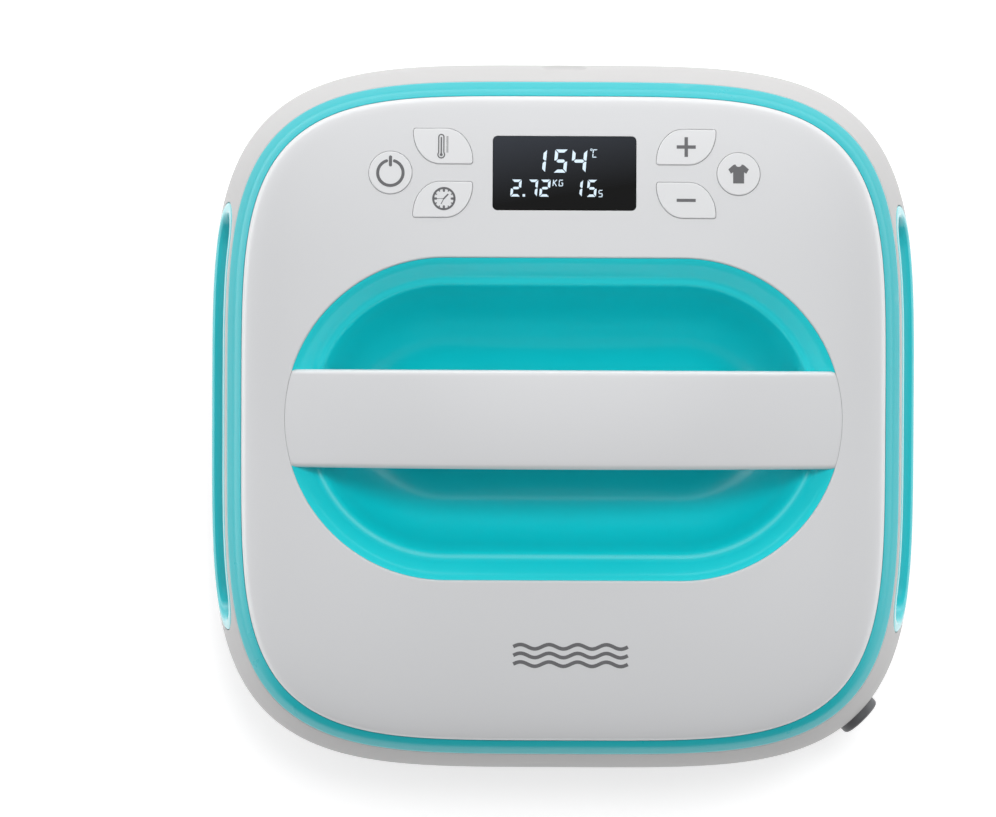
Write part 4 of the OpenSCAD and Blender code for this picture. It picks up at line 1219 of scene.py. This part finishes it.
def cord_gland():
    skin = Skin()
    length = GLAND_FACE - GLAND_BACK
    chain = [(9.45, 0.0), (9.45, length), (5.4, length), (4.6, length - 1.4), (4.15, length - 2.0), (4.15, -11.5)]
    start = TO_GLAND * GLAND_BACK + Z_AXIS * GLAND_Z
    skin.loops(turned_loops(fillet(chain, [2.4, 0.5, 0.5, 0.4], 7), start, ACROSS_GLAND, Z_AXIS, 72))
    obj = skin.build("gland", mat_gland, "press", sharp=60)
    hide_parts("cord_gland")


heat_plate()
base_skirt()
load_pads()
cord_gland()

# ---------------------------------------------------------------- finishes of the CAD pieces that stay

FINISHES = [
    (mat_screw, ["skirt_screws", "handle_screws", "chassis_screws", "strap_screws", "plate_screws"]),
    (mat_zinc, ["control_board_screws", "power_board_screws", "clamp_screws", "fuse", "temperature_sensor"]),
    (mat_steel, ["chassis_plate", "heat_shield", "element_straps"]),
    (mat_steel, [end + side + "load_cell" for end in ("front_", "rear_") for side in ("left_", "right_")]),
    (mat_dark, ["lcd_module", "tact_switches", "buzzer", "thermal_cutout", "gland_nut", "cord_clamp"]),
    (mat_dark, [key + "_plunger" for key in KEYS]),
    (mat_board, ["control_board", "power_board"]),
    (mat_blue, ["relay"]), (mat_sink, ["triac_heatsink"]), (mat_yellow, ["transformer"]),
    (mat_ivory, ["terminal_block"]), (mat_brass, ["board_standoffs"]), (mat_ribbon, ["ribbon_cable"]),
    (mat_sheath, ["heating_element"]), (mat_sleeve, ["heater_leads"]), (mat_pad, ["insulation_pad"]),
    (mat_ceramic, ["plate_standoffs"]),
]


def finish_node(node, material):
    node.data.materials.clear()
    node.data.materials.append(material)
    split_by_angle(node.data, 35)
    node.data.polygons.foreach_set("use_smooth", [True] * len(node.data.polygons))


for material, names in FINISHES:
    for name in names:
        finish_node(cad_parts[name], material)
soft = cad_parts["skirt_screws"].modifiers.new("edges", "BEVEL")
soft.width, soft.segments, soft.limit_method = 0.2 * MM, 2, "ANGLE"

# ---------------------------------------------------------------- floor, light and world


def floor():
    mesh = bpy.data.meshes.new("floor")
    s = 6.0
    mesh.from_pydata([(-s, -s, 0), (s, -s, 0), (s, s, 0), (-s, s, 0)], [], [(0, 1, 2, 3)])
    obj = bpy.data.objects.new("floor", mesh)
    scene.collection.objects.link(obj)
    mesh.materials.append(paper("floor_paper"))


def key_light():
    """A soft light above the rear, which the glossy faces do not mirror."""
    data = bpy.data.lights.new("key", "AREA")
    data.shape = "RECTANGLE"
    data.size, data.size_y = 0.9, 0.6
    data.energy = 17
    obj = bpy.data.objects.new("key", data)
    scene.collection.objects.link(obj)
    obj.location = (0.30, 0.75, 2.1)
    obj.rotation_euler = (Vector((0, 0, 0.1)) - obj.location).to_track_quat("-Z", "Y").to_euler()
    obj.visible_glossy = False


def studio():
    """A dim dome, a soft overhead panel a little to the rear, and a low bright band round the sides and rear."""
    world = bpy.data.worlds.new("studio")
    scene.world = world
    world.use_nodes = True
    sky = world.node_tree
    direction = place(sky, "Generated")
    x, y, z = axes_of(sky, direction)
    facing = add_node(sky, "VectorMath", "Value", {0: direction, 1: (0.03, 0.24, 0.97)}, operation="DOT_PRODUCT")
    above = remap(sky, z, 0.0, 1.0, 0.17, 0.27)
    overhead = remap(sky, facing, 0.88, 0.99, 0.0, 1.20)
    low = remap(sky, z, 0.12, 0.46, 2.3, 0.0)
    round_back = remap(sky, y, -0.75, 0.0)
    lopsided = remap(sky, x, -0.7, 0.7, 1.4, 1.0)
    band = maths(sky, "MULTIPLY", maths(sky, "MULTIPLY", low, round_back), lopsided)
    total = maths(sky, "ADD", maths(sky, "ADD", above, overhead), band)
    set_inputs(sky, sky.nodes["Background"], {"Color": (0.98, 0.99, 1.0, 1), "Strength": total})
    scene.view_settings.view_transform = "Standard"
    scene.view_settings.look = "None"


floor()
key_light()
studio()
